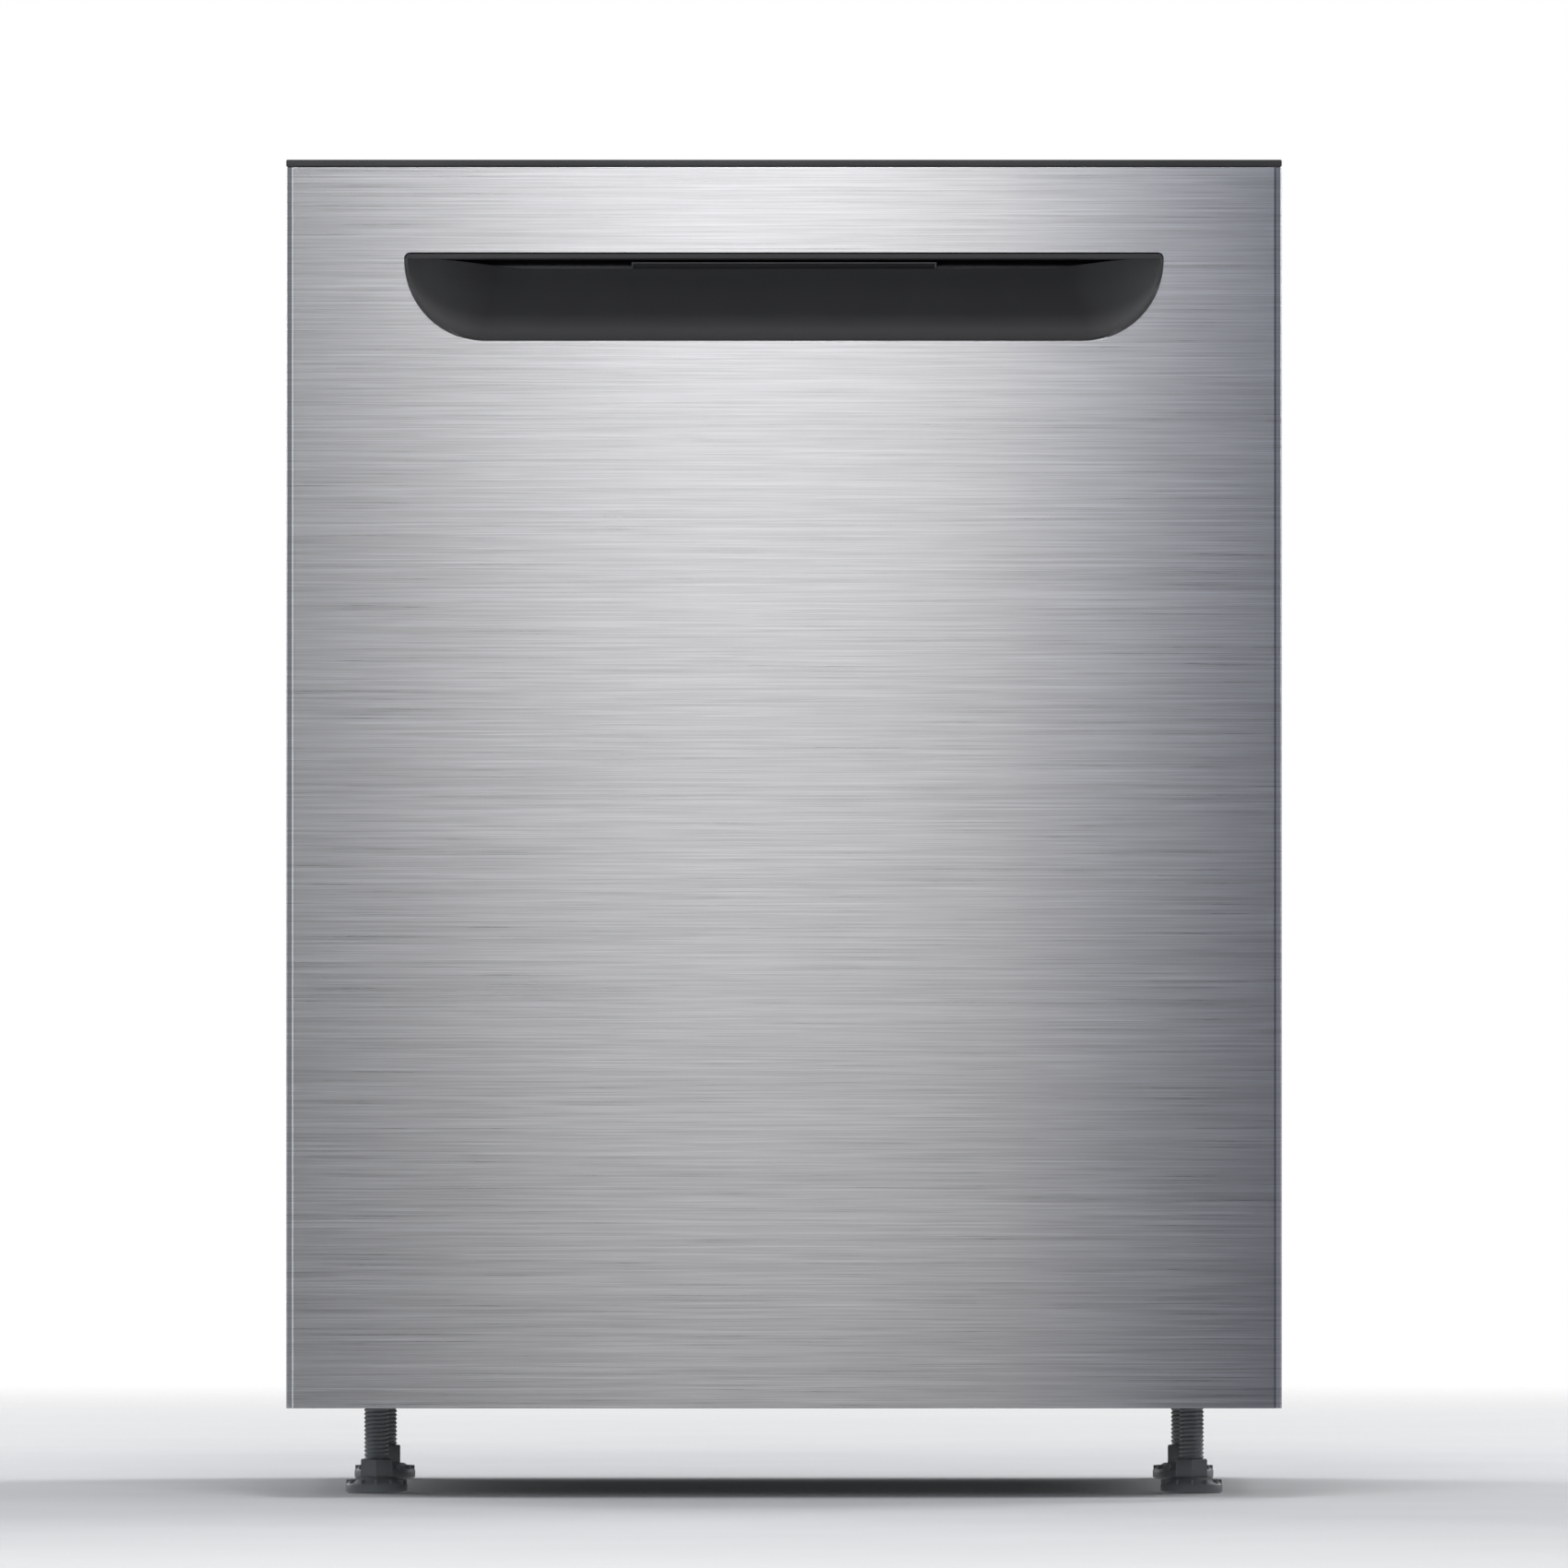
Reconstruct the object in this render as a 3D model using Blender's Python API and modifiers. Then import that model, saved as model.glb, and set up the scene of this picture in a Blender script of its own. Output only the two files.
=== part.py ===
"""Built-in dishwasher, 24 inch class, with a pocket handle and hidden controls on the door's top edge.

Metres, +Z up, front towards -Y. The origin is on the floor, under the middle of the whole machine.
Each sub-part is one named object. A moving piece has its origin on its joint's axis.
"""

import math

import bmesh
import bpy
from mathutils import Matrix, Vector

# ---- driving dimensions ---------------------------------------------------------------------

WIDTH = 0.606               # the door, which is the widest piece
DEPTH = 0.600               # door face to the hose fittings
HEIGHT = 0.815              # floor to the top of the door
LEG = 0.055                 # floor to the underside of the door and the base
GAP = 0.0003                # between pieces that touch

FRONT = -DEPTH / 2          # the door's front face
DOOR_HALF = WIDTH / 2
SHEET = 0.0012              # steel of the door's front panel
FOLD_RADIUS = 0.0045        # the rounded side folds of that panel
STRIP = 0.0043              # the plastic strip that shows above the panel
PANEL_TOP = HEIGHT - STRIP

BODY_HALF = 0.299           # half the width of everything behind the door
BODY_FRONT = FRONT + 0.045  # front face of the collar around the tub's opening
COLLAR_DEPTH = 0.010
COLLAR_BOTTOM = 0.142
COLLAR_TOP = 0.8125
OPENING_HALF = 0.279        # the collar's opening
SILL = 0.160
OPENING_TOP = 0.785

TUB_WALL = 0.0015
TUB_HALF = 0.2910           # inside of the tub
TUB_FLOOR = 0.152
TUB_ROOF = 0.790
TUB_BACK = 0.262
TRACK_TOP = 0.1617          # the steps that the lower rack's wheels run on
BLANKET = 0.005

PIVOT_Y = FRONT + 0.033     # the door's hinge axis
PIVOT_Z = 0.125
LINER_FACE = FRONT + 0.040  # inside face of the door's flat inner sheet
LINER_BOTTOM = 0.147
LINER_TOP = 0.808
PLUG_FACE = FRONT + 0.060   # the raised middle that enters the tub
PLUG_HALF = 0.275
PLUG_BOTTOM = 0.166
PLUG_TOP = 0.781
DOOR_TRACK_FACE = FRONT + 0.068

POCKET_WIDTH = 0.462        # the scooped handle
POCKET_HEIGHT = 0.0538
POCKET_TOP = HEIGHT - 0.0566
POCKET_TOP_RADIUS = 0.0034
POCKET_BOTTOM_RADIUS = 0.0494
POCKET_DEPTH = 0.046
POCKET_WALL = 0.0015

SCOOP_RISE = 0.0448         # the pocket's floor curves up this far, until it stands upright
SCOOP_CLOSE = 0.060         # and each end closes in this far
SLOT_BOTTOM = 0.7494        # slot along the top of the pocket's back, in front of the latch flap
SLOT_TOP = 0.7549
SLOT_HALF = 0.158

PADDLE_HALF = 0.093
PADDLE_TOP = 0.7534
PADDLE_BOTTOM = 0.7300
PADDLE_FRONT = FRONT + 0.0467
PADDLE_THICK = 0.0022
PADDLE_AXLE_Z = 0.7318

BASE_FRONT = -0.180         # set back, so that the door's foot can swing under the tub
BASE_BACK = 0.285
BASE_HALF = 0.2915
BASE_TOP = 0.1405
BASE_WALL = 0.003
LEG_X = 0.250
LEG_FRONT_Y = -0.150
LEG_REAR_Y = 0.245

ARM_CENTRE_Y = 0.020        # the spray arms turn about this line
LOWER_ARM_HALF = 0.220
UPPER_ARM_HALF = 0.195
FILTER_Y = -0.080
SUMP_Y = FILTER_Y

RACK_BACK = 0.240
RACK_FRONT = -0.205
WIRE = 0.004                # width of a wire, and of the strip that stands for it
WIRE_DEEP = 0.003
LOWER_RACK_HALF = 0.2580
LOWER_RACK_BOTTOM = 0.203
LOWER_RACK_TOP = 0.345
WHEEL_RADIUS = 0.018
WHEEL_WIDTH = 0.010
WHEEL_Z = TRACK_TOP + WHEEL_RADIUS + GAP
WHEEL_YS = (-0.125, 0.190)
UPPER_RACK_HALF = 0.2480
UPPER_RACK_BOTTOM = 0.500
UPPER_RACK_TOP = 0.635
RAIL_Z = 0.585
RAIL_HEIGHT = 0.020
RAIL_FRONT = -0.235
RAIL_BACK = 0.245

BUTTONS = (("power", -0.190), ("program", -0.130), ("options", -0.095), ("delay", -0.060), ("start", 0.190))
BUTTON_SIZE = (0.016, 0.009)
BUTTON_Y = FRONT + 0.022

# ---- materials: colour, metallic, roughness ---------------------------------------------------

LOOKS = {
    "brushed_steel": ((0.52, 0.52, 0.54), 1.0, 0.32),
    "tub_steel": ((0.62, 0.62, 0.63), 1.0, 0.25),
    "galvanised": ((0.50, 0.51, 0.52), 1.0, 0.45),
    "charcoal_plastic": ((0.035, 0.035, 0.037), 0.0, 0.45),
    "black_plastic": ((0.015, 0.015, 0.016), 0.0, 0.40),
    "grey_plastic": ((0.25, 0.26, 0.27), 0.0, 0.45),
    "light_plastic": ((0.62, 0.63, 0.64), 0.0, 0.40),
    "coated_wire": ((0.42, 0.44, 0.46), 0.0, 0.35),
    "rubber": ((0.03, 0.03, 0.03), 0.0, 0.75),
    "felt": ((0.10, 0.10, 0.11), 0.0, 0.95),
    "board_green": ((0.03, 0.16, 0.08), 0.0, 0.50),
}

PARTS = None
CUTTERS = None


def fresh_scene():
    """Remove every object and make the two collections."""
    global PARTS, CUTTERS
    for old in list(bpy.data.objects):
        bpy.data.objects.remove(old)
    PARTS = bpy.data.collections.new("dishwasher")
    CUTTERS = bpy.data.collections.new("cutters")
    bpy.context.scene.collection.children.link(PARTS)
    bpy.context.scene.collection.children.link(CUTTERS)


def material(name):
    """The Principled material of that name, made once."""
    found = bpy.data.materials.get(name)
    if found:
        return found
    colour, metallic, roughness = LOOKS[name]
    made = bpy.data.materials.new(name)
    made.use_nodes = True
    shader = made.node_tree.nodes["Principled BSDF"]
    shader.inputs["Base Color"].default_value = (*colour, 1.0)
    shader.inputs["Metallic"].default_value = metallic
    shader.inputs["Roughness"].default_value = roughness
    made.diffuse_color = (*colour, 1.0)
    return made


# ---- shape helpers ----------------------------------------------------------------------------

def place(mesh, name, look=None, origin=(0.0, 0.0, 0.0)):
    """Wrap a mesh that is in world coordinates as an object with its origin at `origin`."""
    mesh.transform(Matrix.Translation(-Vector(origin)))
    thing = bpy.data.objects.new(name, mesh)
    thing.location = origin
    if look:
        PARTS.objects.link(thing)
        mesh.materials.append(material(look))
        mesh.shade_smooth()
        mesh.set_sharp_from_angle(angle=math.radians(35))
    else:
        CUTTERS.objects.link(thing)
        thing.hide_render = True
        thing.display_type = "WIRE"
    return thing


def mesh_of(shape, name):
    mesh = bpy.data.meshes.new(name)
    shape.to_mesh(mesh)
    shape.free()
    return mesh


def box_mesh(name, xs, ys, zs):
    shape = bmesh.new()
    size = (xs[1] - xs[0], ys[1] - ys[0], zs[1] - zs[0])
    middle = ((xs[0] + xs[1]) / 2, (ys[0] + ys[1]) / 2, (zs[0] + zs[1]) / 2)
    bmesh.ops.create_cube(shape, size=1.0, matrix=Matrix.Translation(middle) @ Matrix.Diagonal((*size, 1.0)))
    return mesh_of(shape, name)


def box(name, xs, ys, zs, look=None, origin=(0.0, 0.0, 0.0)):
    """A box between three pairs of limits."""
    return place(box_mesh(name, xs, ys, zs), name, look, origin)


AXIS_TURN = {
    "X": Matrix.Rotation(math.radians(90), 4, "Y"),
    "Y": Matrix.Rotation(math.radians(-90), 4, "X"),
    "Z": Matrix.Identity(4),
}


def rod(name, centre, axis, radius, length, look=None, origin=(0.0, 0.0, 0.0), sides=20, radius2=None):
    """A cylinder or cone along an axis, about its centre."""
    shape = bmesh.new()
    bmesh.ops.create_cone(
        shape, cap_ends=True, segments=sides, radius1=radius,
        radius2=radius if radius2 is None else radius2, depth=length,
        matrix=Matrix.Translation(centre) @ AXIS_TURN[axis])
    return place(mesh_of(shape, name), name, look, origin)


SIDE_VIEW = Matrix(((0, 0, 1, 0), (1, 0, 0, 0), (0, 1, 0, 0), (0, 0, 0, 1)))
FRONT_VIEW = Matrix(((1, 0, 0, 0), (0, 0, -1, 0), (0, 1, 0, 0), (0, 0, 0, 1)))
TOP_VIEW = Matrix.Identity(4)


def plate(name, points, view, middle, thickness, look=None, origin=(0.0, 0.0, 0.0)):
    """A flat outline, filled and extruded. `middle` is where its mid-plane lies across the view."""
    flat = bpy.data.curves.new(name, "CURVE")
    flat.dimensions = "2D"
    flat.fill_mode = "BOTH"
    flat.extrude = thickness / 2
    spline = flat.splines.new("POLY")
    spline.points.add(len(points) - 1)
    for slot, (across, up) in zip(spline.points, points):
        slot.co = (across, up, 0.0, 1.0)
    spline.use_cyclic_u = True
    carrier = bpy.data.objects.new(name + "_outline", flat)
    bpy.context.scene.collection.objects.link(carrier)
    return solid_of_curve(carrier, name, view @ Matrix.Translation((0, 0, middle)), look, origin)


def solid_of_curve(carrier, name, turn, look, origin):
    """Turn a curve object into a closed mesh object and remove the curve."""
    bpy.context.view_layer.update()
    graph = bpy.context.evaluated_depsgraph_get()
    mesh = bpy.data.meshes.new_from_object(carrier.evaluated_get(graph))
    bpy.data.objects.remove(carrier)
    shape = bmesh.new()
    shape.from_mesh(mesh)
    bmesh.ops.remove_doubles(shape, verts=shape.verts, dist=0.00001)
    bmesh.ops.recalc_face_normals(shape, faces=shape.faces)
    shape.to_mesh(mesh)
    shape.free()
    mesh.name = name
    mesh.materials.clear()
    mesh.transform(turn)
    return place(mesh, name, look, origin)


def tube(name, points, radius, look=None, origin=(0.0, 0.0, 0.0), ring=False, sides=2):
    """A round bar or pipe along a line of points."""
    path = bpy.data.curves.new(name, "CURVE")
    path.dimensions = "3D"
    path.bevel_depth = radius
    path.bevel_resolution = sides
    path.use_fill_caps = True
    spline = path.splines.new("POLY")
    spline.points.add(len(points) - 1)
    for slot, point in zip(spline.points, points):
        slot.co = (*point, 1.0)
    spline.use_cyclic_u = ring
    carrier = bpy.data.objects.new(name + "_line", path)
    bpy.context.scene.collection.objects.link(carrier)
    return solid_of_curve(carrier, name, Matrix.Identity(4), look, origin)


def combine(target, tool, operation):
    step = target.modifiers.new(operation.lower(), "BOOLEAN")
    step.operation = operation
    step.solver = "EXACT"
    step.object = tool


def cut(target, *tools):
    """Take each tool's volume away from the target."""
    for tool in tools:
        combine(target, tool, "DIFFERENCE")
    return target


def join(target, *tools):
    """Add each tool's volume to the target, as one body."""
    for tool in tools:
        combine(target, tool, "UNION")
    return target


def arc(centre, radius, start, end, steps):
    """Points on a circular arc, angles in degrees."""
    found = []
    for step in range(steps + 1):
        angle = math.radians(start + (end - start) * step / steps)
        found.append((centre[0] + radius * math.cos(angle), centre[1] + radius * math.sin(angle)))
    return found


def rounded_outline(half, low, high, low_radius, high_radius, steps=5):
    """A rectangle with two lower and two upper corner radii, anticlockwise."""
    points = []
    points += arc((half - low_radius, low + low_radius), low_radius, -90, 0, steps)
    points += arc((half - high_radius, high - high_radius), high_radius, 0, 90, steps)
    points += arc((-half + high_radius, high - high_radius), high_radius, 90, 180, steps)
    points += arc((-half + low_radius, low + low_radius), low_radius, 180, 270, steps)
    return points


def shell(thing, thickness, inward=True):
    """Give an open surface its wall thickness."""
    step = thing.modifiers.new("wall", "SOLIDIFY")
    step.thickness = thickness
    step.offset = -1.0 if inward else 1.0
    step.use_even_offset = True
    return thing


# ---- base and legs ----------------------------------------------------------------------------

def leg_places():
    return (("fl", -LEG_X, LEG_FRONT_Y), ("fr", LEG_X, LEG_FRONT_Y),
            ("rl", -LEG_X, LEG_REAR_Y), ("rr", LEG_X, LEG_REAR_Y))


def make_base():
    """Moulded tray with four leg sockets and two hinge ears in front."""
    base = box("base_pan", (-BASE_HALF, BASE_HALF), (BASE_FRONT, BASE_BACK), (LEG, BASE_TOP), "black_plastic")
    cut(base, box("base_hollow", (-BASE_HALF + BASE_WALL, BASE_HALF - BASE_WALL),
                  (BASE_FRONT + BASE_WALL, BASE_BACK - BASE_WALL), (LEG + BASE_WALL, BASE_TOP + 0.01)))
    for tag, x, y in leg_places():
        join(base, rod("socket_" + tag, (x, y, LEG + 0.022), "Z", 0.017, 0.044, sides=12))
        cut(base, rod("socket_bore_" + tag, (x, y, LEG + 0.02), "Z", 0.0083, 0.10, sides=12))
    for side in (-1, 1):
        join(base, hinge_ear(side))
        join(base, rod(f"hinge_pin_{side + 1}", (side * 0.2865, PIVOT_Y, PIVOT_Z), "X", 0.005, 0.008,
                       sides=12))
    return base


def hinge_ear(side):
    """Steel ear that reaches forward from the base and carries the hinge pin."""
    points = [(PIVOT_Y - 0.009, PIVOT_Z - 0.009), (PIVOT_Y + 0.009, PIVOT_Z - 0.009),
              (PIVOT_Y + 0.014, PIVOT_Z + 0.007), (BASE_FRONT + 0.002, PIVOT_Z + 0.007),
              (BASE_FRONT + 0.002, BASE_TOP - 0.0005), (PIVOT_Y - 0.009, BASE_TOP - 0.0005)]
    return plate(f"ear_{side + 1}", points, SIDE_VIEW, side * 0.2900, 0.0029)


def make_legs():
    """Levelling legs: a wide foot, a hexagon and a stem that screws into its socket."""
    for tag, x, y in leg_places():
        origin = (x, y, 0.0)
        leg = rod("leg_" + tag, (x, y, 0.005), "Z", 0.019, 0.010, "grey_plastic", origin, sides=20)
        join(leg, rod("leg_nut_" + tag, (x, y, 0.015), "Z", 0.011, 0.012, sides=6))
        join(leg, rod("leg_stem_" + tag, (x, y, 0.055), "Z", 0.0078, 0.082, sides=12))


def make_toe_panel():
    """Access panel in front of the base, behind the door's foot."""
    panel = box("toe_panel", (-0.270, 0.270), (BASE_FRONT - 0.0024, BASE_FRONT - GAP), (LEG + 0.004, 0.128),
                "black_plastic")
    for row in range(3):
        low = 0.085 + row * 0.010
        cut(panel, box(f"toe_slot_{row}", (-0.06, 0.06), (BASE_FRONT - 0.01, BASE_FRONT + 0.001),
                       (low, low + 0.004)))


def make_under_tub():
    """Sump, the two pumps, the wiring box and the two fittings at the back."""
    sump = rod("sump", (0.0, SUMP_Y, 0.1205), "Z", 0.042, 0.059, "grey_plastic", sides=24, radius2=0.060)
    cut(sump, rod("sump_bowl", (0.0, SUMP_Y, 0.1245), "Z", 0.039, 0.059, sides=24, radius2=0.057))

    pump = rod("circulation_pump", (0.130, 0.060, 0.098), "X", 0.033, 0.090, "grey_plastic", sides=20)
    join(pump, rod("pump_volute", (0.076, 0.060, 0.098), "X", 0.038, 0.022, sides=20))
    join(pump, rod("pump_outlet", (0.076, 0.060, 0.130), "Z", 0.010, 0.016, sides=12))

    drain = rod("drain_pump", (-0.110, 0.090, 0.090), "Y", 0.024, 0.070, "grey_plastic", sides=16)
    join(drain, rod("drain_volute", (-0.110, 0.048, 0.090), "Y", 0.028, 0.018, sides=16))

    box("junction_box", (0.100, 0.190), (-0.165, -0.100), (LEG + BASE_WALL + GAP, 0.110), "galvanised")

    inlet = box("inlet_valve", (-0.225, -0.185), (BASE_BACK + GAP, BASE_BACK + 0.005), (0.080, 0.120),
                "light_plastic")
    join(inlet, rod("inlet_thread", (-0.205, BASE_BACK + 0.0095, 0.100), "Y", 0.0133, 0.011, sides=20))
    cut(inlet, rod("inlet_bore", (-0.205, BASE_BACK + 0.013, 0.100), "Y", 0.008, 0.016, sides=16))

    outlet = box("drain_spigot", (0.185, 0.225), (BASE_BACK + GAP, BASE_BACK + 0.004), (0.080, 0.120),
                 "grey_plastic")
    join(outlet, rod("spigot_tube", (0.205, BASE_BACK + 0.009, 0.100), "Y", 0.011, 0.012, sides=20))
    cut(outlet, rod("spigot_bore", (0.205, BASE_BACK + 0.013, 0.100), "Y", 0.008, 0.016, sides=16))


# ---- tub --------------------------------------------------------------------------------------

def open_front_box(name, half, ys, zs, look, also_open=()):
    """A box surface without its front face, and without the faces named in `also_open`."""
    shape = bmesh.new()
    size = (2 * half, ys[1] - ys[0], zs[1] - zs[0])
    middle = (0.0, (ys[0] + ys[1]) / 2, (zs[0] + zs[1]) / 2)
    bmesh.ops.create_cube(shape, size=1.0, matrix=Matrix.Translation(middle) @ Matrix.Diagonal((*size, 1.0)))
    gone = []
    for face in shape.faces:
        if face.normal.y < -0.5 or ("bottom" in also_open and face.normal.z < -0.5):
            gone.append(face)
    bmesh.ops.delete(shape, geom=gone, context="FACES")
    return place(mesh_of(shape, name), name, look)


def make_tub():
    """Stainless tub, open at the front, with a step along each side and a hole over the sump."""
    tub = open_front_box("tub_shell", TUB_HALF + TUB_WALL, (BODY_FRONT + COLLAR_DEPTH + GAP,
                                                            TUB_BACK + TUB_WALL),
                         (TUB_FLOOR - TUB_WALL, TUB_ROOF + TUB_WALL), "tub_steel")
    shell(tub, TUB_WALL)
    for side in (-1, 1):
        edges = sorted((side * 0.2625, side * (TUB_HALF + 0.0007)))
        join(tub, box(f"tub_step_{side + 1}", edges, (-0.240, 0.250), (TUB_FLOOR - 0.0007, TRACK_TOP)))
    cut(tub, rod("sump_hole", (0.0, SUMP_Y, TUB_FLOOR), "Z", 0.052, 0.02, sides=24))

    blanket = open_front_box("sound_blanket", BODY_HALF - 0.0005, (BODY_FRONT + COLLAR_DEPTH + GAP, 0.270),
                             (COLLAR_BOTTOM, 0.798), "felt", also_open=("bottom",))
    shell(blanket, BLANKET)

    collar = box("tub_collar", (-BODY_HALF, BODY_HALF), (BODY_FRONT, BODY_FRONT + COLLAR_DEPTH),
                 (COLLAR_BOTTOM, COLLAR_TOP), "tub_steel")
    cut(collar, box("collar_opening", (-OPENING_HALF, OPENING_HALF), (BODY_FRONT - 0.01, BODY_FRONT + 0.03),
                    (SILL, OPENING_TOP)))

    seal_front = LINER_FACE + GAP
    seal = box("tub_gasket", (-0.2920, 0.2920), (seal_front, BODY_FRONT - GAP), (0.148, 0.7965), "rubber")
    cut(seal, box("gasket_middle", (-0.2815, 0.2815), (seal_front - 0.01, BODY_FRONT + 0.01), (0.10, 0.7870)))

    for side, tag in ((-1, "left"), (1, "right")):
        spans = sorted((side * 0.170, side * 0.230))
        bracket = box("counter_bracket_" + tag, spans, (BODY_FRONT + 0.001, BODY_FRONT + 0.046),
                      (COLLAR_TOP + GAP, HEIGHT), "galvanised")
        cut(bracket, rod("bracket_hole_" + tag, (side * 0.200, BODY_FRONT + 0.034, HEIGHT), "Z", 0.0025,
                         0.02, sides=12))

    strike = box("latch_strike", (-0.009, 0.009), (BODY_FRONT - 0.0085, BODY_FRONT - GAP), (0.7990, 0.8030),
                 "galvanised")
    cut(strike, box("strike_eye", (-0.005, 0.005), (BODY_FRONT - 0.0065, BODY_FRONT - 0.003), (0.78, 0.82)))


def make_wash_system():
    """Filter, heater, spray arms, the feed pipe up the back wall and the float."""
    plate_outline = rounded_outline(0.150, -0.150, 0.105, 0.040, 0.040, 4)
    sieve = plate("filter_plate", plate_outline, TOP_VIEW, TUB_FLOOR + 0.0013, 0.0018, "tub_steel")
    cut(sieve, rod("sieve_hole", (0.0, FILTER_Y, TUB_FLOOR), "Z", 0.0365, 0.05, sides=20))

    origin = (0.0, FILTER_Y, TUB_FLOOR)
    cup = rod("filter_cylinder", (0.0, FILTER_Y, 0.1395), "Z", 0.0340, 0.049, "grey_plastic", origin,
              sides=20)
    cut(cup, rod("filter_inside", (0.0, FILTER_Y, 0.1430), "Z", 0.0315, 0.049, sides=20))
    join(cup, box("filter_grip", (-0.0325, 0.0325), (FILTER_Y - 0.002, FILTER_Y + 0.002), (0.150, 0.1635)))

    ring = []
    for step in range(28):
        angle = math.radians(360 * step / 28)
        ring.append((0.205 * math.cos(angle), ARM_CENTRE_Y + 0.205 * math.sin(angle), 0.1605))
    heater = tube("heater_ring", ring, 0.004, "tub_steel", ring=True, sides=1)
    join(heater, rod("heater_foot", (-0.205, ARM_CENTRE_Y, 0.1585), "Z", 0.006, 0.010, sides=10))

    spray_arm("lower_spray_arm", LOWER_ARM_HALF, 0.1800, 0.0100, 0.1570, "grey_plastic")
    spray_arm("upper_spray_arm", UPPER_ARM_HALF, 0.4750, 0.0080, 0.4835, "grey_plastic")
    spray_arm("ceiling_spray_arm", 0.110, 0.7570, 0.0070, 0.7685, "grey_plastic")

    feed_y = TUB_BACK - 0.0105
    bend = 0.030
    top = 0.7790
    line = [(0.0, feed_y, 0.156), (0.0, feed_y, 0.470)]
    line += [(0.0, y, z) for y, z in arc((feed_y - bend, top - bend), bend, 0, 90, 5)]
    line.append((0.0, ARM_CENTRE_Y - 0.006, top))
    tube("feed_tube", line, 0.0085, "grey_plastic")

    float_at = (0.215, -0.195, TUB_FLOOR)
    rod("float_cap", (0.215, -0.195, 0.1640), "Z", 0.020, 0.022, "light_plastic", float_at, sides=16,
        radius2=0.014)


def spray_arm(name, half, low, thick, hub_end, look):
    """Two tapering blades on a round hub, turning about the vertical."""
    blade_tip = 0.013
    blade_root = 0.024
    outline = []
    outline += [(x, y + ARM_CENTRE_Y) for x, y in arc((half - blade_tip, 0.0), blade_tip, -90, 90, 4)]
    outline += [(0.0, ARM_CENTRE_Y + blade_root)]
    outline += [(x, y + ARM_CENTRE_Y) for x, y in arc((-half + blade_tip, 0.0), blade_tip, 90, 270, 4)]
    outline += [(0.0, ARM_CENTRE_Y - blade_root)]
    origin = (0.0, ARM_CENTRE_Y, low + thick / 2)
    arm = plate(name, outline, TOP_VIEW, low + thick / 2, thick, look, origin)
    ends = sorted((low + thick / 2, hub_end))
    join(arm, rod(name + "_hub", (0.0, ARM_CENTRE_Y, sum(ends) / 2), "Z", 0.016, ends[1] - ends[0], sides=16))


# ---- racks ------------------------------------------------------------------------------------

def evenly(low, high, count):
    """Middles of `count` wires whose outer edges are at low and high."""
    first = low + WIRE / 2
    step = (high - low - WIRE) / (count - 1)
    return [first + step * number for number in range(count)]


def wire_basket(name, half, ys, zs, counts, look, origin=(0.0, 0.0, 0.0), centre_x=0.0):
    """An open-topped basket of crossing wires: a box surface sliced along each wire, its cells taken out."""
    shape = bmesh.new()
    size = (2 * half, ys[1] - ys[0], zs[1] - zs[0])
    middle = (centre_x, (ys[0] + ys[1]) / 2, (zs[0] + zs[1]) / 2)
    bmesh.ops.create_cube(shape, size=1.0, matrix=Matrix.Translation(middle) @ Matrix.Diagonal((*size, 1.0)))
    bmesh.ops.delete(shape, geom=[face for face in shape.faces if face.normal.z > 0.5], context="FACES")
    wires = (evenly(centre_x - half, centre_x + half, counts[0]), evenly(*ys, counts[1]),
             evenly(*zs, counts[2]))
    for axis in range(3):
        normal = Vector((axis == 0, axis == 1, axis == 2))
        for at in wires[axis]:
            for edge in (at - WIRE / 2, at + WIRE / 2):
                everything = shape.verts[:] + shape.edges[:] + shape.faces[:]
                bmesh.ops.bisect_plane(shape, geom=everything, plane_co=normal * edge, plane_no=normal,
                                       dist=0.00001)
    cells = []
    for face in shape.faces:
        centre = face.calc_center_median()
        flat_axis = max(range(3), key=lambda axis: abs(face.normal[axis]))
        on_wire = False
        for axis in range(3):
            if axis != flat_axis and any(abs(centre[axis] - at) < WIRE / 2 for at in wires[axis]):
                on_wire = True
        if not on_wire:
            cells.append(face)
    bmesh.ops.delete(shape, geom=cells, context="FACES")
    basket = place(mesh_of(shape, name), name, look, origin)
    shell(basket, WIRE_DEEP)
    return basket


def make_lower_rack():
    """Wire basket on four wheels, with two rows of plate tines."""
    rack = wire_basket("lower_rack", LOWER_RACK_HALF, (RACK_FRONT, RACK_BACK),
                       (LOWER_RACK_BOTTOM, LOWER_RACK_TOP),
                       (6, 5, 2), "coated_wire")
    for row, x in enumerate((-0.130, 0.020)):
        join(rack, box(f"tine_bar_{row}", (x - 0.002, x + 0.002), (RACK_FRONT + 0.001, RACK_BACK - 0.001),
                       (LOWER_RACK_BOTTOM + 0.0005, LOWER_RACK_BOTTOM + 0.0025)))
        for number in range(5):
            y = -0.100 + number * 0.070
            join(rack, box(f"tine_{row}_{number}", (x - 0.0015, x + 0.0015), (y - 0.0015, y + 0.0015),
                           (LOWER_RACK_BOTTOM + 0.0015, LOWER_RACK_BOTTOM + 0.085)))
    for side, tag in ((-1, "left"), (1, "right")):
        for number, y in enumerate(WHEEL_YS):
            where = "front" if number == 0 else "rear"
            x = side * (LOWER_RACK_HALF + 0.0008 + WHEEL_WIDTH / 2)
            centre = (x, y, WHEEL_Z)
            wheel = rod(f"rack_wheel_{where}_{tag}", centre, "X", WHEEL_RADIUS, WHEEL_WIDTH,
                        "grey_plastic", centre,
                        sides=24)
            join(wheel, rod(f"wheel_axle_{where}_{tag}", (x - side * 0.008, y, WHEEL_Z), "X", 0.003, 0.012,
                            sides=8))


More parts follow.
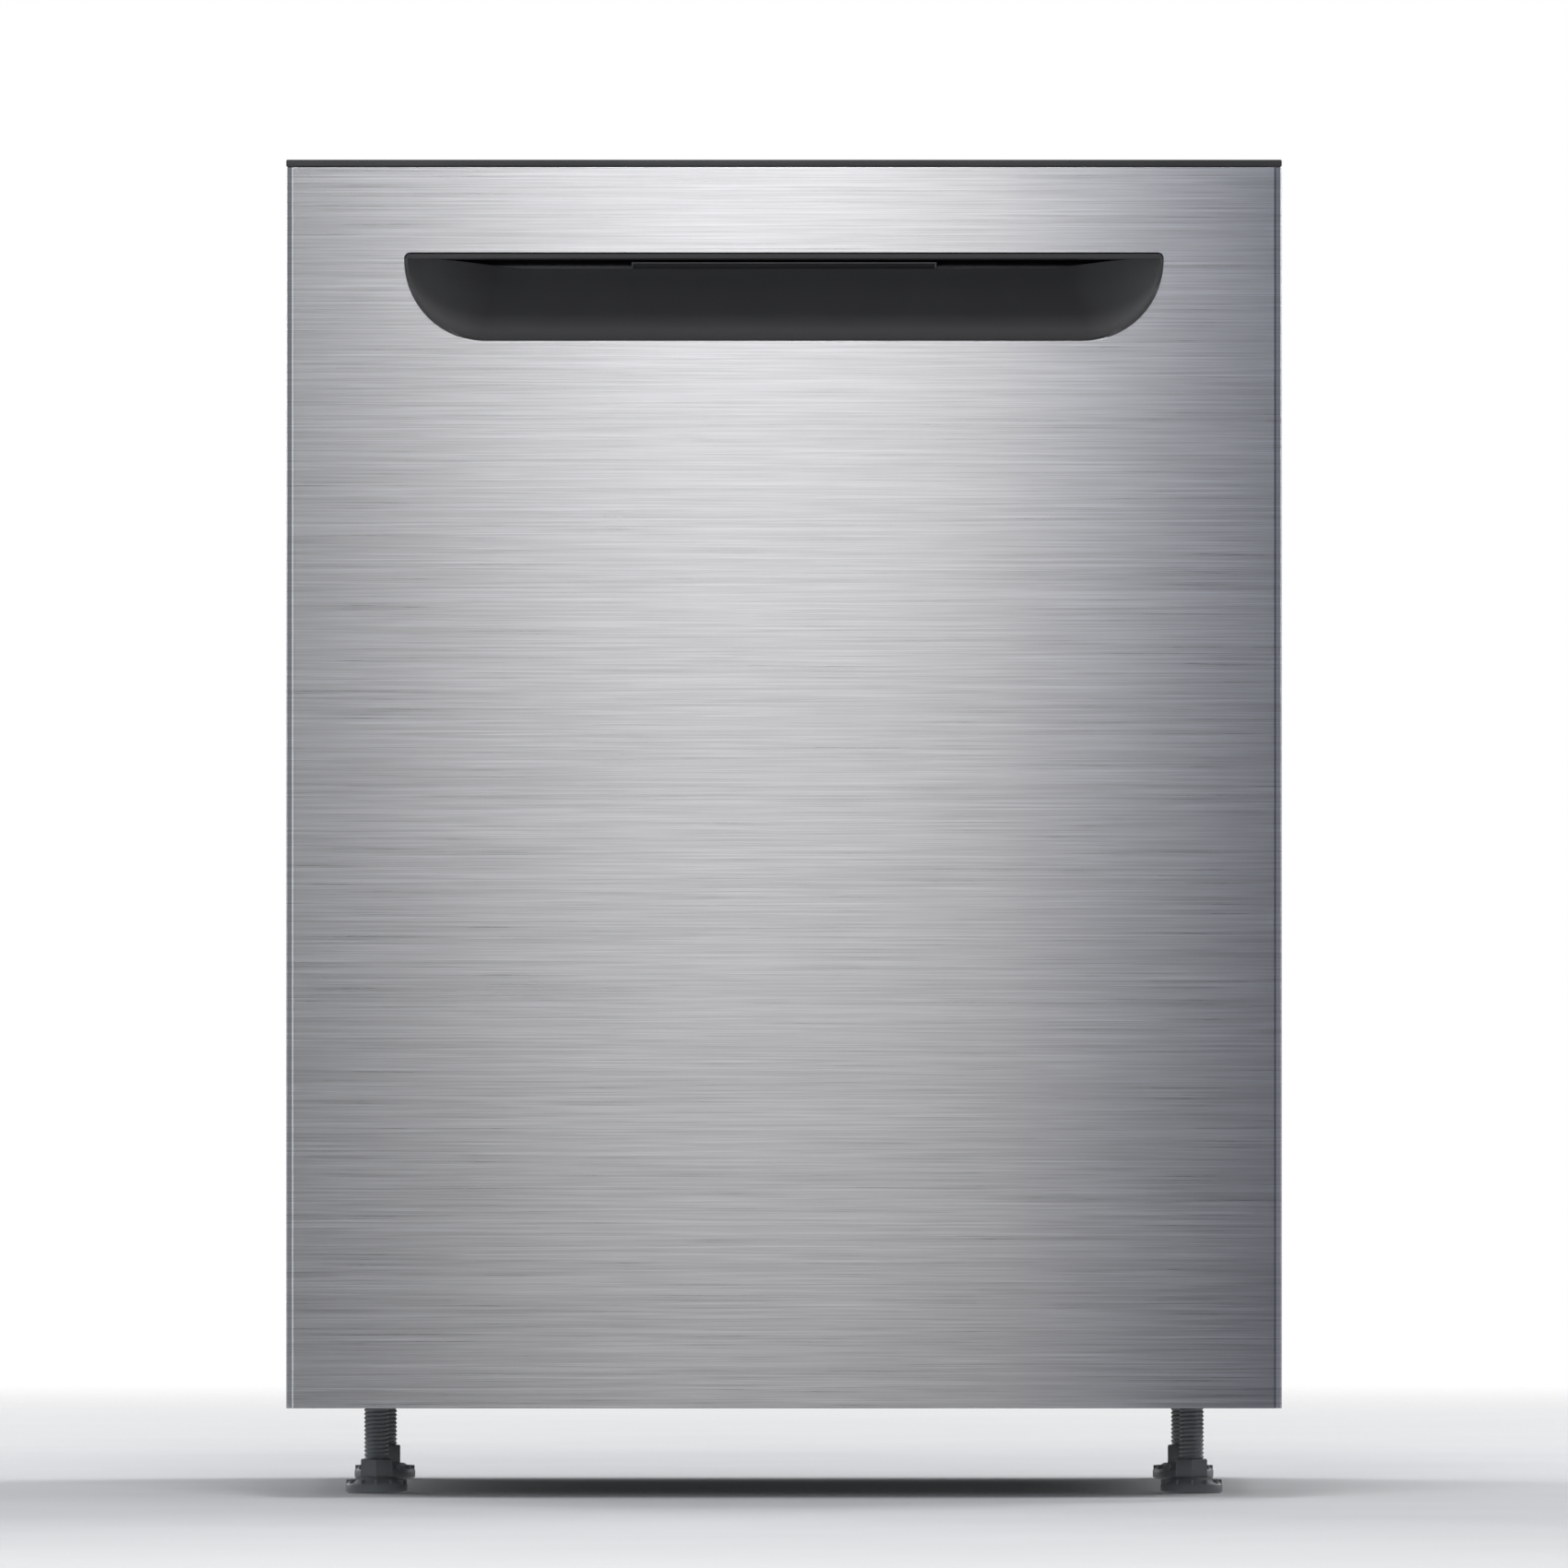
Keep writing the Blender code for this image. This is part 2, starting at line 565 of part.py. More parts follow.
def make_cutlery_basket():
    """Tall basket with a handle, standing on the right of the lower rack."""
    low = LOWER_RACK_BOTTOM + WIRE + 0.0015
    x_low, x_high = 0.130, 0.225
    y_low, y_high = -0.160, 0.080
    origin = ((x_low + x_high) / 2, (y_low + y_high) / 2, low)
    basket = box("cutlery_basket", (x_low, x_high), (y_low, y_high), (low, low + 0.125), "grey_plastic",
                 origin)
    cell_wall = 0.003
    cell = (y_high - y_low - cell_wall) / 3
    for number in range(3):
        start = y_low + cell_wall + number * cell
        cut(basket, box(f"cutlery_cell_{number}", (x_low + cell_wall, x_high - cell_wall),
                        (start, start + cell - cell_wall),
                        (low + 0.004, low + 0.2)))
    middle = (x_low + x_high) / 2
    grip = plate("cutlery_grip", rounded_outline(0.0385, low + 0.10, low + 0.160, 0.001, 0.018, 3),
                 SIDE_VIEW, middle,
                 0.004)
    grip.location.y += origin[1]
    grip_hole = plate("cutlery_grip_hole", rounded_outline(0.030, low + 0.1255, low + 0.152, 0.001, 0.010,
                                                           3), SIDE_VIEW,
                      middle, 0.02)
    grip_hole.location.y += origin[1]
    cut(grip, grip_hole)
    join(basket, grip)


def make_upper_rack():
    """Shallow basket that hangs between two telescopic rails, with its water pipe below."""
    rack = wire_basket("upper_rack", UPPER_RACK_HALF, (RACK_FRONT, RACK_BACK),
                       (UPPER_RACK_BOTTOM, UPPER_RACK_TOP),
                       (6, 5, 2), "coated_wire")
    for side in (-1, 1):
        spans = sorted((side * (UPPER_RACK_HALF - 0.003), side * 0.2632))
        join(rack, box(f"carriage_{side + 1}", spans, (RACK_FRONT + 0.001, RACK_BACK - 0.001),
                       (RAIL_Z - 0.004, RAIL_Z + 0.004)))

    pipe = tube("upper_manifold", [(0.0, RACK_BACK - 0.006, 0.4918), (0.0, ARM_CENTRE_Y - 0.012, 0.4918)],
                0.0065,
                "grey_plastic", sides=2)
    join(pipe, rod("manifold_hub", (0.0, ARM_CENTRE_Y, 0.4918), "Z", 0.017, 0.0125, sides=16))

    shelf_x = -UPPER_RACK_HALF + 0.008
    shelf_z = 0.600
    origin = (shelf_x, 0.0, shelf_z)
    shelf = box("cup_shelf", (shelf_x, shelf_x + 0.105), (-0.150, 0.180), (shelf_z - 0.002, shelf_z + 0.002),
                "coated_wire", origin)
    for number in range(4):
        start = -0.142 + number * 0.080
        cut(shelf, box(f"shelf_gap_{number}", (shelf_x + 0.008, shelf_x + 0.097), (start, start + 0.072),
                       (0.5, 0.7)))


def make_rails():
    """Fixed channel on each wall and the half-travel rail that slides in it."""
    for side, tag in ((-1, "left"), (1, "right")):
        outer = sorted((side * 0.2755, side * (TUB_HALF - GAP)))
        fixed = box("upper_rail_" + tag, outer, (RAIL_FRONT, RAIL_BACK),
                    (RAIL_Z - RAIL_HEIGHT / 2, RAIL_Z + RAIL_HEIGHT / 2), "tub_steel")
        groove = sorted((side * 0.2700, side * 0.2790))
        cut(fixed, box("rail_groove_" + tag, groove, (RAIL_FRONT - 0.01, RAIL_BACK + 0.01),
                       (RAIL_Z - 0.0065, RAIL_Z + 0.0065)))
        inner = sorted((side * 0.2635, side * 0.2784))
        box("rail_slide_" + tag, inner, (RAIL_FRONT + 0.001, RAIL_BACK - 0.001),
            (RAIL_Z - 0.006, RAIL_Z + 0.006),
            "tub_steel", (side * 0.2710, RAIL_FRONT, RAIL_Z))


# ---- door -------------------------------------------------------------------------------------

def fold_outline():
    """Plan of the front panel: flat face, two rounded folds and the side returns, as one thick line."""
    back = FRONT + 0.0365
    outer_radius = FOLD_RADIUS
    inner_radius = FOLD_RADIUS - SHEET
    corner = (DOOR_HALF - outer_radius, FRONT + outer_radius)
    points = [(DOOR_HALF, back)]
    points += arc(corner, outer_radius, 0, -90, 4)
    points += arc((-corner[0], corner[1]), outer_radius, -90, -180, 4)
    points += [(-DOOR_HALF, back), (-DOOR_HALF + SHEET, back)]
    points += arc((-corner[0], corner[1]), inner_radius, -180, -90, 4)
    points += arc(corner, inner_radius, -90, 0, 4)
    points += [(DOOR_HALF - SHEET, back)]
    return points


def make_door_panel():
    """Brushed steel front with the handle's opening."""
    panel = plate("door_outer_panel", fold_outline(), TOP_VIEW, (LEG + PANEL_TOP - GAP) / 2,
                  PANEL_TOP - GAP - LEG,
                  "brushed_steel")
    lip = SHEET / 2
    join(panel, box("panel_foot", (-DOOR_HALF + lip, DOOR_HALF - lip), (FRONT + lip, FRONT + 0.030),
                    (LEG, LEG + SHEET)))
    opening = rounded_outline(POCKET_WIDTH / 2, POCKET_TOP - POCKET_HEIGHT, POCKET_TOP, POCKET_BOTTOM_RADIUS,
                              POCKET_TOP_RADIUS, 8)
    cut(panel, plate("pocket_opening", opening, FRONT_VIEW, -FRONT, 0.01))


def pocket_ring(shape, turn):
    """One outline of the scoop, `turn` degrees round its curve: the floor rises and the ends close in."""
    inward = 1 - math.cos(math.radians(turn))
    half = POCKET_WIDTH / 2 - GAP - SCOOP_CLOSE * inward
    low = POCKET_TOP - POCKET_HEIGHT + GAP + SCOOP_RISE * inward
    high = POCKET_TOP - GAP
    low_radius = min(POCKET_BOTTOM_RADIUS - GAP, (high - low) - POCKET_TOP_RADIUS)
    y = FRONT + 0.0002 + POCKET_DEPTH * math.sin(math.radians(turn))
    corners = rounded_outline(half, low, high, low_radius, POCKET_TOP_RADIUS, 6)
    return [shape.verts.new((x, y, z)) for x, z in corners]


def make_pocket():
    """Scooped plastic handle with one wall thickness, and a slot along the top of its back."""
    shape = bmesh.new()
    rings = [pocket_ring(shape, turn) for turn in (0, 12, 28, 44, 60, 74, 84)]
    for near, far in zip(rings, rings[1:]):
        for here in range(len(near)):
            after = (here + 1) % len(near)
            shape.faces.new((near[here], near[after], far[after], far[here]))
    shape.faces.new(list(reversed(rings[-1])))
    bmesh.ops.recalc_face_normals(shape, faces=shape.faces)
    if shape.faces[0].normal.z > 0:
        bmesh.ops.reverse_faces(shape, faces=shape.faces)
    pocket = place(mesh_of(shape, "handle_pocket"), "handle_pocket", "charcoal_plastic")
    shell(pocket, POCKET_WALL)
    cut(pocket, box("pocket_slot", (-SLOT_HALF, SLOT_HALF), (FRONT + 0.040, FRONT + 0.050),
                    (SLOT_BOTTOM, SLOT_TOP)))


def make_paddle():
    """Latch flap behind the pocket's slot: fingertips push its top edge back."""
    axis = (0.0, PADDLE_FRONT + PADDLE_THICK / 2, PADDLE_AXLE_Z)
    paddle = box("latch_paddle", (-PADDLE_HALF, PADDLE_HALF), (PADDLE_FRONT, PADDLE_FRONT + PADDLE_THICK),
                 (PADDLE_BOTTOM, PADDLE_TOP), "charcoal_plastic", axis)
    join(paddle, rod("paddle_axle", (0.0, axis[1], PADDLE_AXLE_Z), "X", 0.0018, 2 * PADDLE_HALF + 0.006,
                     sides=10))


def make_console():
    """Plastic console along the door's top edge, its keys, the board under it and the latch."""
    console = box("console", (-DOOR_HALF, DOOR_HALF), (FRONT, LINER_FACE + 0.0015), (PANEL_TOP, HEIGHT),
                  "charcoal_plastic")
    join(console, box("console_body", (-0.295, 0.295), (FRONT + 0.002, FRONT + 0.030),
                      (0.790, PANEL_TOP + 0.001)))
    well = 0.0003
    for tag, x in BUTTONS:
        cut(console, box("well_" + tag, (x - BUTTON_SIZE[0] / 2 - well, x + BUTTON_SIZE[0] / 2 + well),
                         (BUTTON_Y - BUTTON_SIZE[1] / 2 - well, BUTTON_Y + BUTTON_SIZE[1] / 2 + well),
                         (0.8050, HEIGHT + 0.01)))
        box("button_" + tag, (x - BUTTON_SIZE[0] / 2, x + BUTTON_SIZE[0] / 2),
            (BUTTON_Y - BUTTON_SIZE[1] / 2, BUTTON_Y + BUTTON_SIZE[1] / 2), (0.8072, HEIGHT - 0.0001),
            "black_plastic", (x, BUTTON_Y, HEIGHT - 0.0001))

    box("control_board", (-0.215, 0.215), (FRONT + 0.003, FRONT + 0.028), (0.7840, 0.7870), "board_green")

    latch = box("door_latch", (-0.030, 0.030), (FRONT + 0.0305, LINER_FACE - 0.0023), (0.7935, 0.8085),
                "black_plastic")
    cut(latch, box("latch_slot", (-0.0105, 0.0105), (FRONT + 0.0345, LINER_FACE + 0.001), (0.7975, 0.8045)))


def make_liner():
    """Inner sheet of the door: a flat rim, a raised middle and two wheel tracks."""
    liner = box("door_inner_liner", (-0.2985, 0.2985), (LINER_FACE - 0.002, LINER_FACE),
                (LINER_BOTTOM, LINER_TOP),
                "tub_steel")
    join(liner, box("plug", (-PLUG_HALF, PLUG_HALF), (LINER_FACE - 0.001, PLUG_FACE),
                    (PLUG_BOTTOM, PLUG_TOP)))
    for side in (-1, 1):
        spans = sorted((side * 0.2560, side * (PLUG_HALF - 0.0004)))
        join(liner, box(f"door_track_{side + 1}", spans, (PLUG_FACE - 0.001, DOOR_TRACK_FACE),
                        (PLUG_BOTTOM + 0.0004, 0.40)))
    wall = 0.0015
    cut(liner, box("plug_hollow", (-PLUG_HALF + wall, PLUG_HALF - wall),
                   (LINER_FACE - 0.01, PLUG_FACE - wall),
                   (PLUG_BOTTOM + wall, PLUG_TOP - wall)))
    cut(liner, box("strike_slot", (-0.0125, 0.0125), (LINER_FACE - 0.01, LINER_FACE + 0.01),
                   (0.7972, 0.8048)))
    cut(liner, box("dispenser_hole", (-0.1003, 0.1003), (LINER_FACE - 0.01, PLUG_FACE + 0.01),
                   (0.4197, 0.5603)))

    box("door_insulation", (-0.2745, 0.2745), (FRONT + 0.0025, LINER_FACE - 0.0025), (0.152, 0.6950), "felt")

    vent = rod("vent_grille", (0.190, PLUG_FACE + 0.0023, 0.690), "Y", 0.032, 0.0040, "grey_plastic",
               sides=24)
    for row in range(-2, 3):
        z = 0.690 + row * 0.010
        cut(vent, box(f"vent_slot_{row + 2}", (0.172, 0.208), (PLUG_FACE + 0.0015, PLUG_FACE + 0.010),
                      (z - 0.002, z + 0.002)))


def make_dispenser():
    """Detergent and rinse-aid dispenser, let into the inner sheet, with its lid and its cap."""
    face = PLUG_FACE + 0.011
    body = box("dispenser_body", (-0.100, 0.100), (LINER_FACE - 0.0018, face), (0.420, 0.560), "grey_plastic")
    cut(body, box("detergent_cup", (-0.085, -0.015), (face - 0.024, face + 0.01), (0.465, 0.530)))
    cut(body, rod("rinse_well", (0.074, face, 0.500), "Y", 0.0195, 0.010, sides=24))

    lid_origin = (-0.050, face + GAP, 0.4975)
    lid = box("dispenser_lid", (-0.088, -0.012), (face + GAP, face + 0.0025), (0.462, 0.533),
              "grey_plastic", lid_origin)
    join(lid, box("lid_grip", (-0.018, -0.014), (face + 0.002, face + 0.0045), (0.475, 0.520)))

    cap_origin = (0.074, face, 0.500)
    cap = rod("rinse_aid_cap", (0.074, face - 0.0015, 0.500), "Y", 0.0185, 0.0060, "black_plastic",
              cap_origin, sides=24)
    join(cap, box("cap_grip", (0.0590, 0.0890), (face + 0.001, face + 0.0040), (0.4980, 0.5020)))


def make_hinge_arms():
    """Steel arms inside the door's sides, each with a bore over its pin."""
    for side, tag in ((-1, "left"), (1, "right")):
        points = []
        points += arc((PIVOT_Y, PIVOT_Z), 0.011, -180, 0, 6)
        points += [(PIVOT_Y + 0.0030, PIVOT_Z + 0.014), (PIVOT_Y - 0.010, PIVOT_Z + 0.030),
                   (PIVOT_Y - 0.010, 0.300),
                   (PIVOT_Y - 0.022, 0.300), (PIVOT_Y - 0.022, PIVOT_Z + 0.020)]
        arm = plate("hinge_arm_" + tag, points, SIDE_VIEW, side * 0.2845, 0.0035, "galvanised",
                    (side * 0.2845, PIVOT_Y, PIVOT_Z))
        cut(arm, rod("arm_bore_" + tag, (side * 0.2845, PIVOT_Y, PIVOT_Z), "X", 0.0056, 0.02, sides=12))


def main():
    fresh_scene()
    make_base()
    make_legs()
    make_toe_panel()
    make_under_tub()
    make_tub()
    make_wash_system()
    make_lower_rack()
    make_cutlery_basket()
    make_upper_rack()
    make_rails()
    make_door_panel()
    make_pocket()
    make_paddle()
    make_console()
    make_liner()
    make_dispenser()
    make_hinge_arms()


main()
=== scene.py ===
"""Looks of the built-in dishwasher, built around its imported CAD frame.

Every piece sits where the CAD boxes say. X is across the door, Y is depth with the door at -Y, Z is up.
"""

import math
from itertools import product

import bmesh
import bpy
from mathutils import Matrix, Vector


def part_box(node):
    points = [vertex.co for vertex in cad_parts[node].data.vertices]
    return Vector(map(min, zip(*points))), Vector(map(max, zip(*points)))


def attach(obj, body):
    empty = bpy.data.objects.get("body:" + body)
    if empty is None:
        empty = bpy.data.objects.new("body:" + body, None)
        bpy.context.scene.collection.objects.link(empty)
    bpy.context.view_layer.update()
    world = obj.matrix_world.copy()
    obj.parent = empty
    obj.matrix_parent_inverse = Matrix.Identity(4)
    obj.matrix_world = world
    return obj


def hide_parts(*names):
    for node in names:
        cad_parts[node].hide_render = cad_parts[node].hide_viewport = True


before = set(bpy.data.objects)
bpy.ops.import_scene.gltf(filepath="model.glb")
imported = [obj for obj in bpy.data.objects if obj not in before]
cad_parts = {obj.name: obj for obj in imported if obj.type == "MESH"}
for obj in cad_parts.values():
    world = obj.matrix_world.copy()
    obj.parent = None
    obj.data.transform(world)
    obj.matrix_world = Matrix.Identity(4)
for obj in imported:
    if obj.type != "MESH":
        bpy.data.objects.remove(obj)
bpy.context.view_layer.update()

MM = 0.001
ROOT = "cabinet"
DOOR = "door"


# ---- node helpers -------------------------------------------------------------------------------

class Graph:
    """Short calls for shader nodes."""

    def __init__(self, tree):
        self.tree = tree

    def node(self, kind, **settings):
        made = self.tree.nodes.new(kind)
        for key, value in settings.items():
            setattr(made, key, value)
        return made

    def link(self, source, target):
        self.tree.links.new(source, target)

    def span(self, value, low, high, out_low=0.0, out_high=1.0):
        """The value between low and high, stretched to the out range."""
        made = self.node("ShaderNodeMapRange")
        made.inputs["From Min"].default_value = low
        made.inputs["From Max"].default_value = high
        made.inputs["To Min"].default_value = out_low
        made.inputs["To Max"].default_value = out_high
        self.link(value, made.inputs["Value"])
        return made.outputs["Result"]

    def part(self, axis, vector):
        """One component of a vector."""
        made = self.node("ShaderNodeSeparateXYZ")
        self.link(vector, made.inputs["Vector"])
        return made.outputs[axis]

    def math(self, operation, first, second):
        made = self.node("ShaderNodeMath", operation=operation)
        for socket, value in zip(made.inputs, (first, second)):
            if isinstance(value, (int, float)):
                socket.default_value = value
            else:
                self.link(value, socket)
        return made.outputs["Value"]

    def blend(self, share, first, second):
        """Two colours mixed by a share."""
        made = self.node("ShaderNodeMix", data_type="RGBA")
        self.link(share, made.inputs["Factor"])
        for socket, value in ((made.inputs[6], first), (made.inputs[7], second)):
            if isinstance(value, tuple):
                socket.default_value = (*value, 1.0)
            else:
                self.link(value, socket)
        return made.outputs[2]


class Look(Graph):
    """One material, with the nodes that feed its shader."""

    def __init__(self, name, metallic=0.0, roughness=0.5, **fixed):
        self.material = bpy.data.materials.new(name)
        self.material.use_nodes = True
        super().__init__(self.material.node_tree)
        self.shader = self.tree.nodes["Principled BSDF"]
        self.shader.inputs["Metallic"].default_value = metallic
        self.shader.inputs["Roughness"].default_value = roughness
        for socket, value in fixed.items():
            self.shader.inputs[socket.replace("_", " ")].default_value = value

    def place(self, scale=(1.0, 1.0, 1.0), turn=(0.0, 0.0, 0.0)):
        """Object coordinates, stretched: a large scale makes the pattern fine on that axis."""
        here = self.node("ShaderNodeTexCoord").outputs["Object"]
        mapping = self.node("ShaderNodeMapping")
        mapping.inputs["Scale"].default_value = scale
        mapping.inputs["Rotation"].default_value = turn
        self.link(here, mapping.inputs["Vector"])
        return mapping.outputs["Vector"]

    def noise(self, scale, detail=2.0, where=None, rough=0.5):
        made = self.node("ShaderNodeTexNoise")
        made.inputs["Scale"].default_value = scale
        made.inputs["Detail"].default_value = detail
        made.inputs["Roughness"].default_value = rough
        self.link(where or self.place(), made.inputs["Vector"])
        return made.outputs["Fac"]

    def cells(self, scale, feature="F1"):
        made = self.node("ShaderNodeTexVoronoi", feature=feature)
        made.inputs["Scale"].default_value = scale
        self.link(self.place(), made.inputs["Vector"])
        return made

    def colour(self, value):
        self.link(value, self.shader.inputs["Base Color"])

    def roughness(self, value):
        self.link(value, self.shader.inputs["Roughness"])

    def bump(self, height, distance, strength):
        made = self.node("ShaderNodeBump")
        made.inputs["Strength"].default_value = strength
        made.inputs["Distance"].default_value = distance
        self.link(height, made.inputs["Height"])
        self.link(made.outputs["Normal"], self.shader.inputs["Normal"])


# ---- materials ----------------------------------------------------------------------------------

def shade(tone, by):
    """A colour made darker or lighter."""
    return tuple(min(1.0, part * by) for part in tone)


def brushed_steel(name, tone, grain, streak, roughness=0.30):
    """Steel with fine lines along the axes where `grain` is small, and painted shade: its flat front turns
    darker and bluer towards the right.
    """
    look = Look(name, metallic=1.0, roughness=roughness, Anisotropic=0.85)
    fine = look.noise(1.0, 3.0, look.place(grain), 0.6)
    broad = look.noise(1.0, 2.0, look.place([part * 0.36 for part in grain]), 0.5)
    lines = look.math("ADD", look.math("MULTIPLY", fine, 0.65), look.math("MULTIPLY", broad, 0.35))
    share = look.span(lines, 0.36, 0.64)
    plain = look.blend(share, shade(tone, 1.0 - streak), shade(tone, 1.0 + streak))
    # Painted shade: a darker, bluer copy of the streaked steel, blended in towards the right of the flat
    # front in place of a dimmer, cooler reflection there.
    painted_shade_tone = [part * by for part, by in zip(tone, (0.835, 0.86, 0.945))]
    painted_shade_steel = look.blend(share, shade(painted_shade_tone, 1.0 - streak), shade(painted_shade_tone, 1.0 + streak))
    across = look.part("X", look.place())
    flat = look.math("ABSOLUTE", look.part("Y", look.node("ShaderNodeTexCoord").outputs["Normal"]), 0.0)
    right = look.math("MULTIPLY", look.span(across, 0.13, 0.30), flat)
    look.colour(look.blend(right, plain, painted_shade_steel))
    look.roughness(look.span(lines, 0.3, 0.7, roughness * 0.88, roughness * 1.14))
    look.shader.inputs["Anisotropic Rotation"].default_value = 0.25
    tangent = look.node("ShaderNodeTangent", direction_type="RADIAL", axis="Z")
    look.link(tangent.outputs["Tangent"], look.shader.inputs["Tangent"])
    look.bump(fine, 0.00004, 0.35)
    return look.material


def sheet_steel(name, tone, roughness=0.28):
    """Bright rolled sheet: soft clouds, faint rolling lines and a few water spots."""
    look = Look(name, metallic=1.0, roughness=roughness)
    clouds = look.noise(9.0, 3.0)
    rolled = look.noise(1.0, 2.0, look.place((30.0, 30.0, 700.0)))
    mixed = look.math("ADD", look.math("MULTIPLY", clouds, 0.8), look.math("MULTIPLY", rolled, 0.2))
    look.colour(look.blend(look.span(mixed, 0.35, 0.65), shade(tone, 0.94), tone))
    look.roughness(look.span(clouds, 0.3, 0.7, roughness * 0.95, roughness * 1.15))
    return look.material


def zinc(name, tone=(0.50, 0.51, 0.52)):
    """Zinc-plated sheet with crystal spangle."""
    look = Look(name, metallic=1.0, roughness=0.42)
    crystals = look.cells(140.0).outputs["Distance"]
    speck = look.noise(400.0, 2.0)
    share = look.math("ADD", look.math("MULTIPLY", crystals, 0.8), look.math("MULTIPLY", speck, 0.4))
    look.colour(look.blend(look.span(share, 0.2, 0.8), tone, shade(tone, 0.72)))
    look.roughness(look.span(share, 0.2, 0.9, 0.34, 0.55))
    look.bump(speck, 0.0001, 0.3)
    return look.material


def plastic(name, tone, roughness=0.42, grain=900.0, depth=0.00006, vary=0.16, **fixed):
    """Moulded plastic: a fine spark-eroded texture, slight clouding and rubbed high spots."""
    look = Look(name, roughness=roughness, **fixed)
    texture = look.noise(grain, 2.0)
    cloud = look.noise(14.0, 3.0)
    look.colour(look.blend(look.span(cloud, 0.35, 0.65), shade(tone, 1.0 - vary), shade(tone, 1.0 + vary)))
    look.roughness(look.span(texture, 0.3, 0.7, roughness * 0.86, roughness * 1.16))
    look.bump(texture, depth, 0.6)
    return look.material


def scoop_plastic(name, tone=(0.046, 0.046, 0.047), worn=(0.105, 0.105, 0.106), ends=(0.20, 0.20, 0.202)):
    """Textured plastic with painted light: paler where it faces up and at its two ends, standing in for light
    falling there.
    """
    look = Look(name, roughness=0.5)
    texture = look.noise(1500.0, 2.0)
    normal = look.node("ShaderNodeNewGeometry").outputs["Normal"]
    cloud = look.span(look.noise(30.0, 3.0), 0.3, 0.7, -0.06, 0.06)
    # Painted light: faces that point up, and the two ends, blend to paler tones in place of the light from
    # above and from the sides.
    up = look.math("ADD", look.span(look.part("Z", normal), 0.15, 0.85), cloud)
    painted_end_light_share = look.span(look.math("ABSOLUTE", look.part("X", normal), 0.0), 0.10, 0.95)
    look.colour(look.blend(painted_end_light_share, look.blend(up, tone, worn), ends))
    look.roughness(look.span(texture, 0.3, 0.7, 0.43, 0.58))
    look.bump(texture, 0.00004, 0.6)
    return look.material


def rubber(name):
    """Dark seal rubber with a little dust."""
    look = Look(name, roughness=0.7)
    dust = look.noise(60.0, 5.0)
    look.colour(look.blend(look.span(dust, 0.4, 0.75), (0.020, 0.020, 0.021), (0.055, 0.054, 0.052)))
    look.roughness(look.span(dust, 0.3, 0.7, 0.6, 0.82))
    look.bump(look.noise(700.0, 2.0), 0.0001, 0.5)
    return look.material


def felt(name, tone=(0.085, 0.085, 0.092), fleck=(0.30, 0.30, 0.31)):
    """Pressed recycled fibre: dark mat with lighter flecks."""
    look = Look(name, roughness=0.95)
    look.shader.inputs["Sheen Weight"].default_value = 0.3
    fibres = look.noise(260.0, 6.0, None, 0.7)
    flecks = look.noise(140.0, 4.0, look.place((1.0, 2.2, 1.6), (0.4, 0.3, 0.8)), 0.6)
    base = look.blend(look.span(fibres, 0.35, 0.65), shade(tone, 0.6), shade(tone, 1.5))
    look.colour(look.blend(look.span(flecks, 0.60, 0.70), base, fleck))
    look.bump(fibres, 0.0008, 0.7)
    return look.material


def circuit_board(name):
    """Green lacquer with darker fields between the tracks."""
    look = Look(name, roughness=0.35)
    tracks = look.cells(160.0, feature="DISTANCE_TO_EDGE").outputs["Distance"]
    look.colour(look.blend(look.span(tracks, 0.02, 0.06), (0.05, 0.22, 0.11), (0.015, 0.10, 0.045)))
    look.bump(tracks, 0.00008, 0.5)
    return look.material


def perforated(name, tone, pitch=0.0022):
    """Steel sieve plate with round holes on a fine square pitch."""
    look = Look(name, metallic=1.0, roughness=0.32)
    dots = look.cells(1.0 / pitch)
    dots.inputs["Randomness"].default_value = 0.0
    hole = look.span(dots.outputs["Distance"], 0.30, 0.36)
    stain = look.noise(20.0, 3.0)
    metal = look.blend(look.span(stain, 0.35, 0.65), shade(tone, 0.85), tone)
    look.colour(look.blend(hole, (0.01, 0.01, 0.01), metal))
    look.roughness(look.span(hole, 0.0, 1.0, 0.8, 0.3))
    look.bump(hole, 0.0005, 0.8)
    return look.material


def glossy_dark(name, tone=(0.006, 0.006, 0.007)):
    """Tinted display window: near black, glossy, with the faintest haze of dust."""
    look = Look(name, roughness=0.08)
    dust = look.noise(220.0, 4.0)
    look.colour(look.blend(look.span(dust, 0.5, 0.75), tone, shade(tone, 3.0)))
    look.roughness(look.span(dust, 0.4, 0.75, 0.06, 0.20))
    return look.material


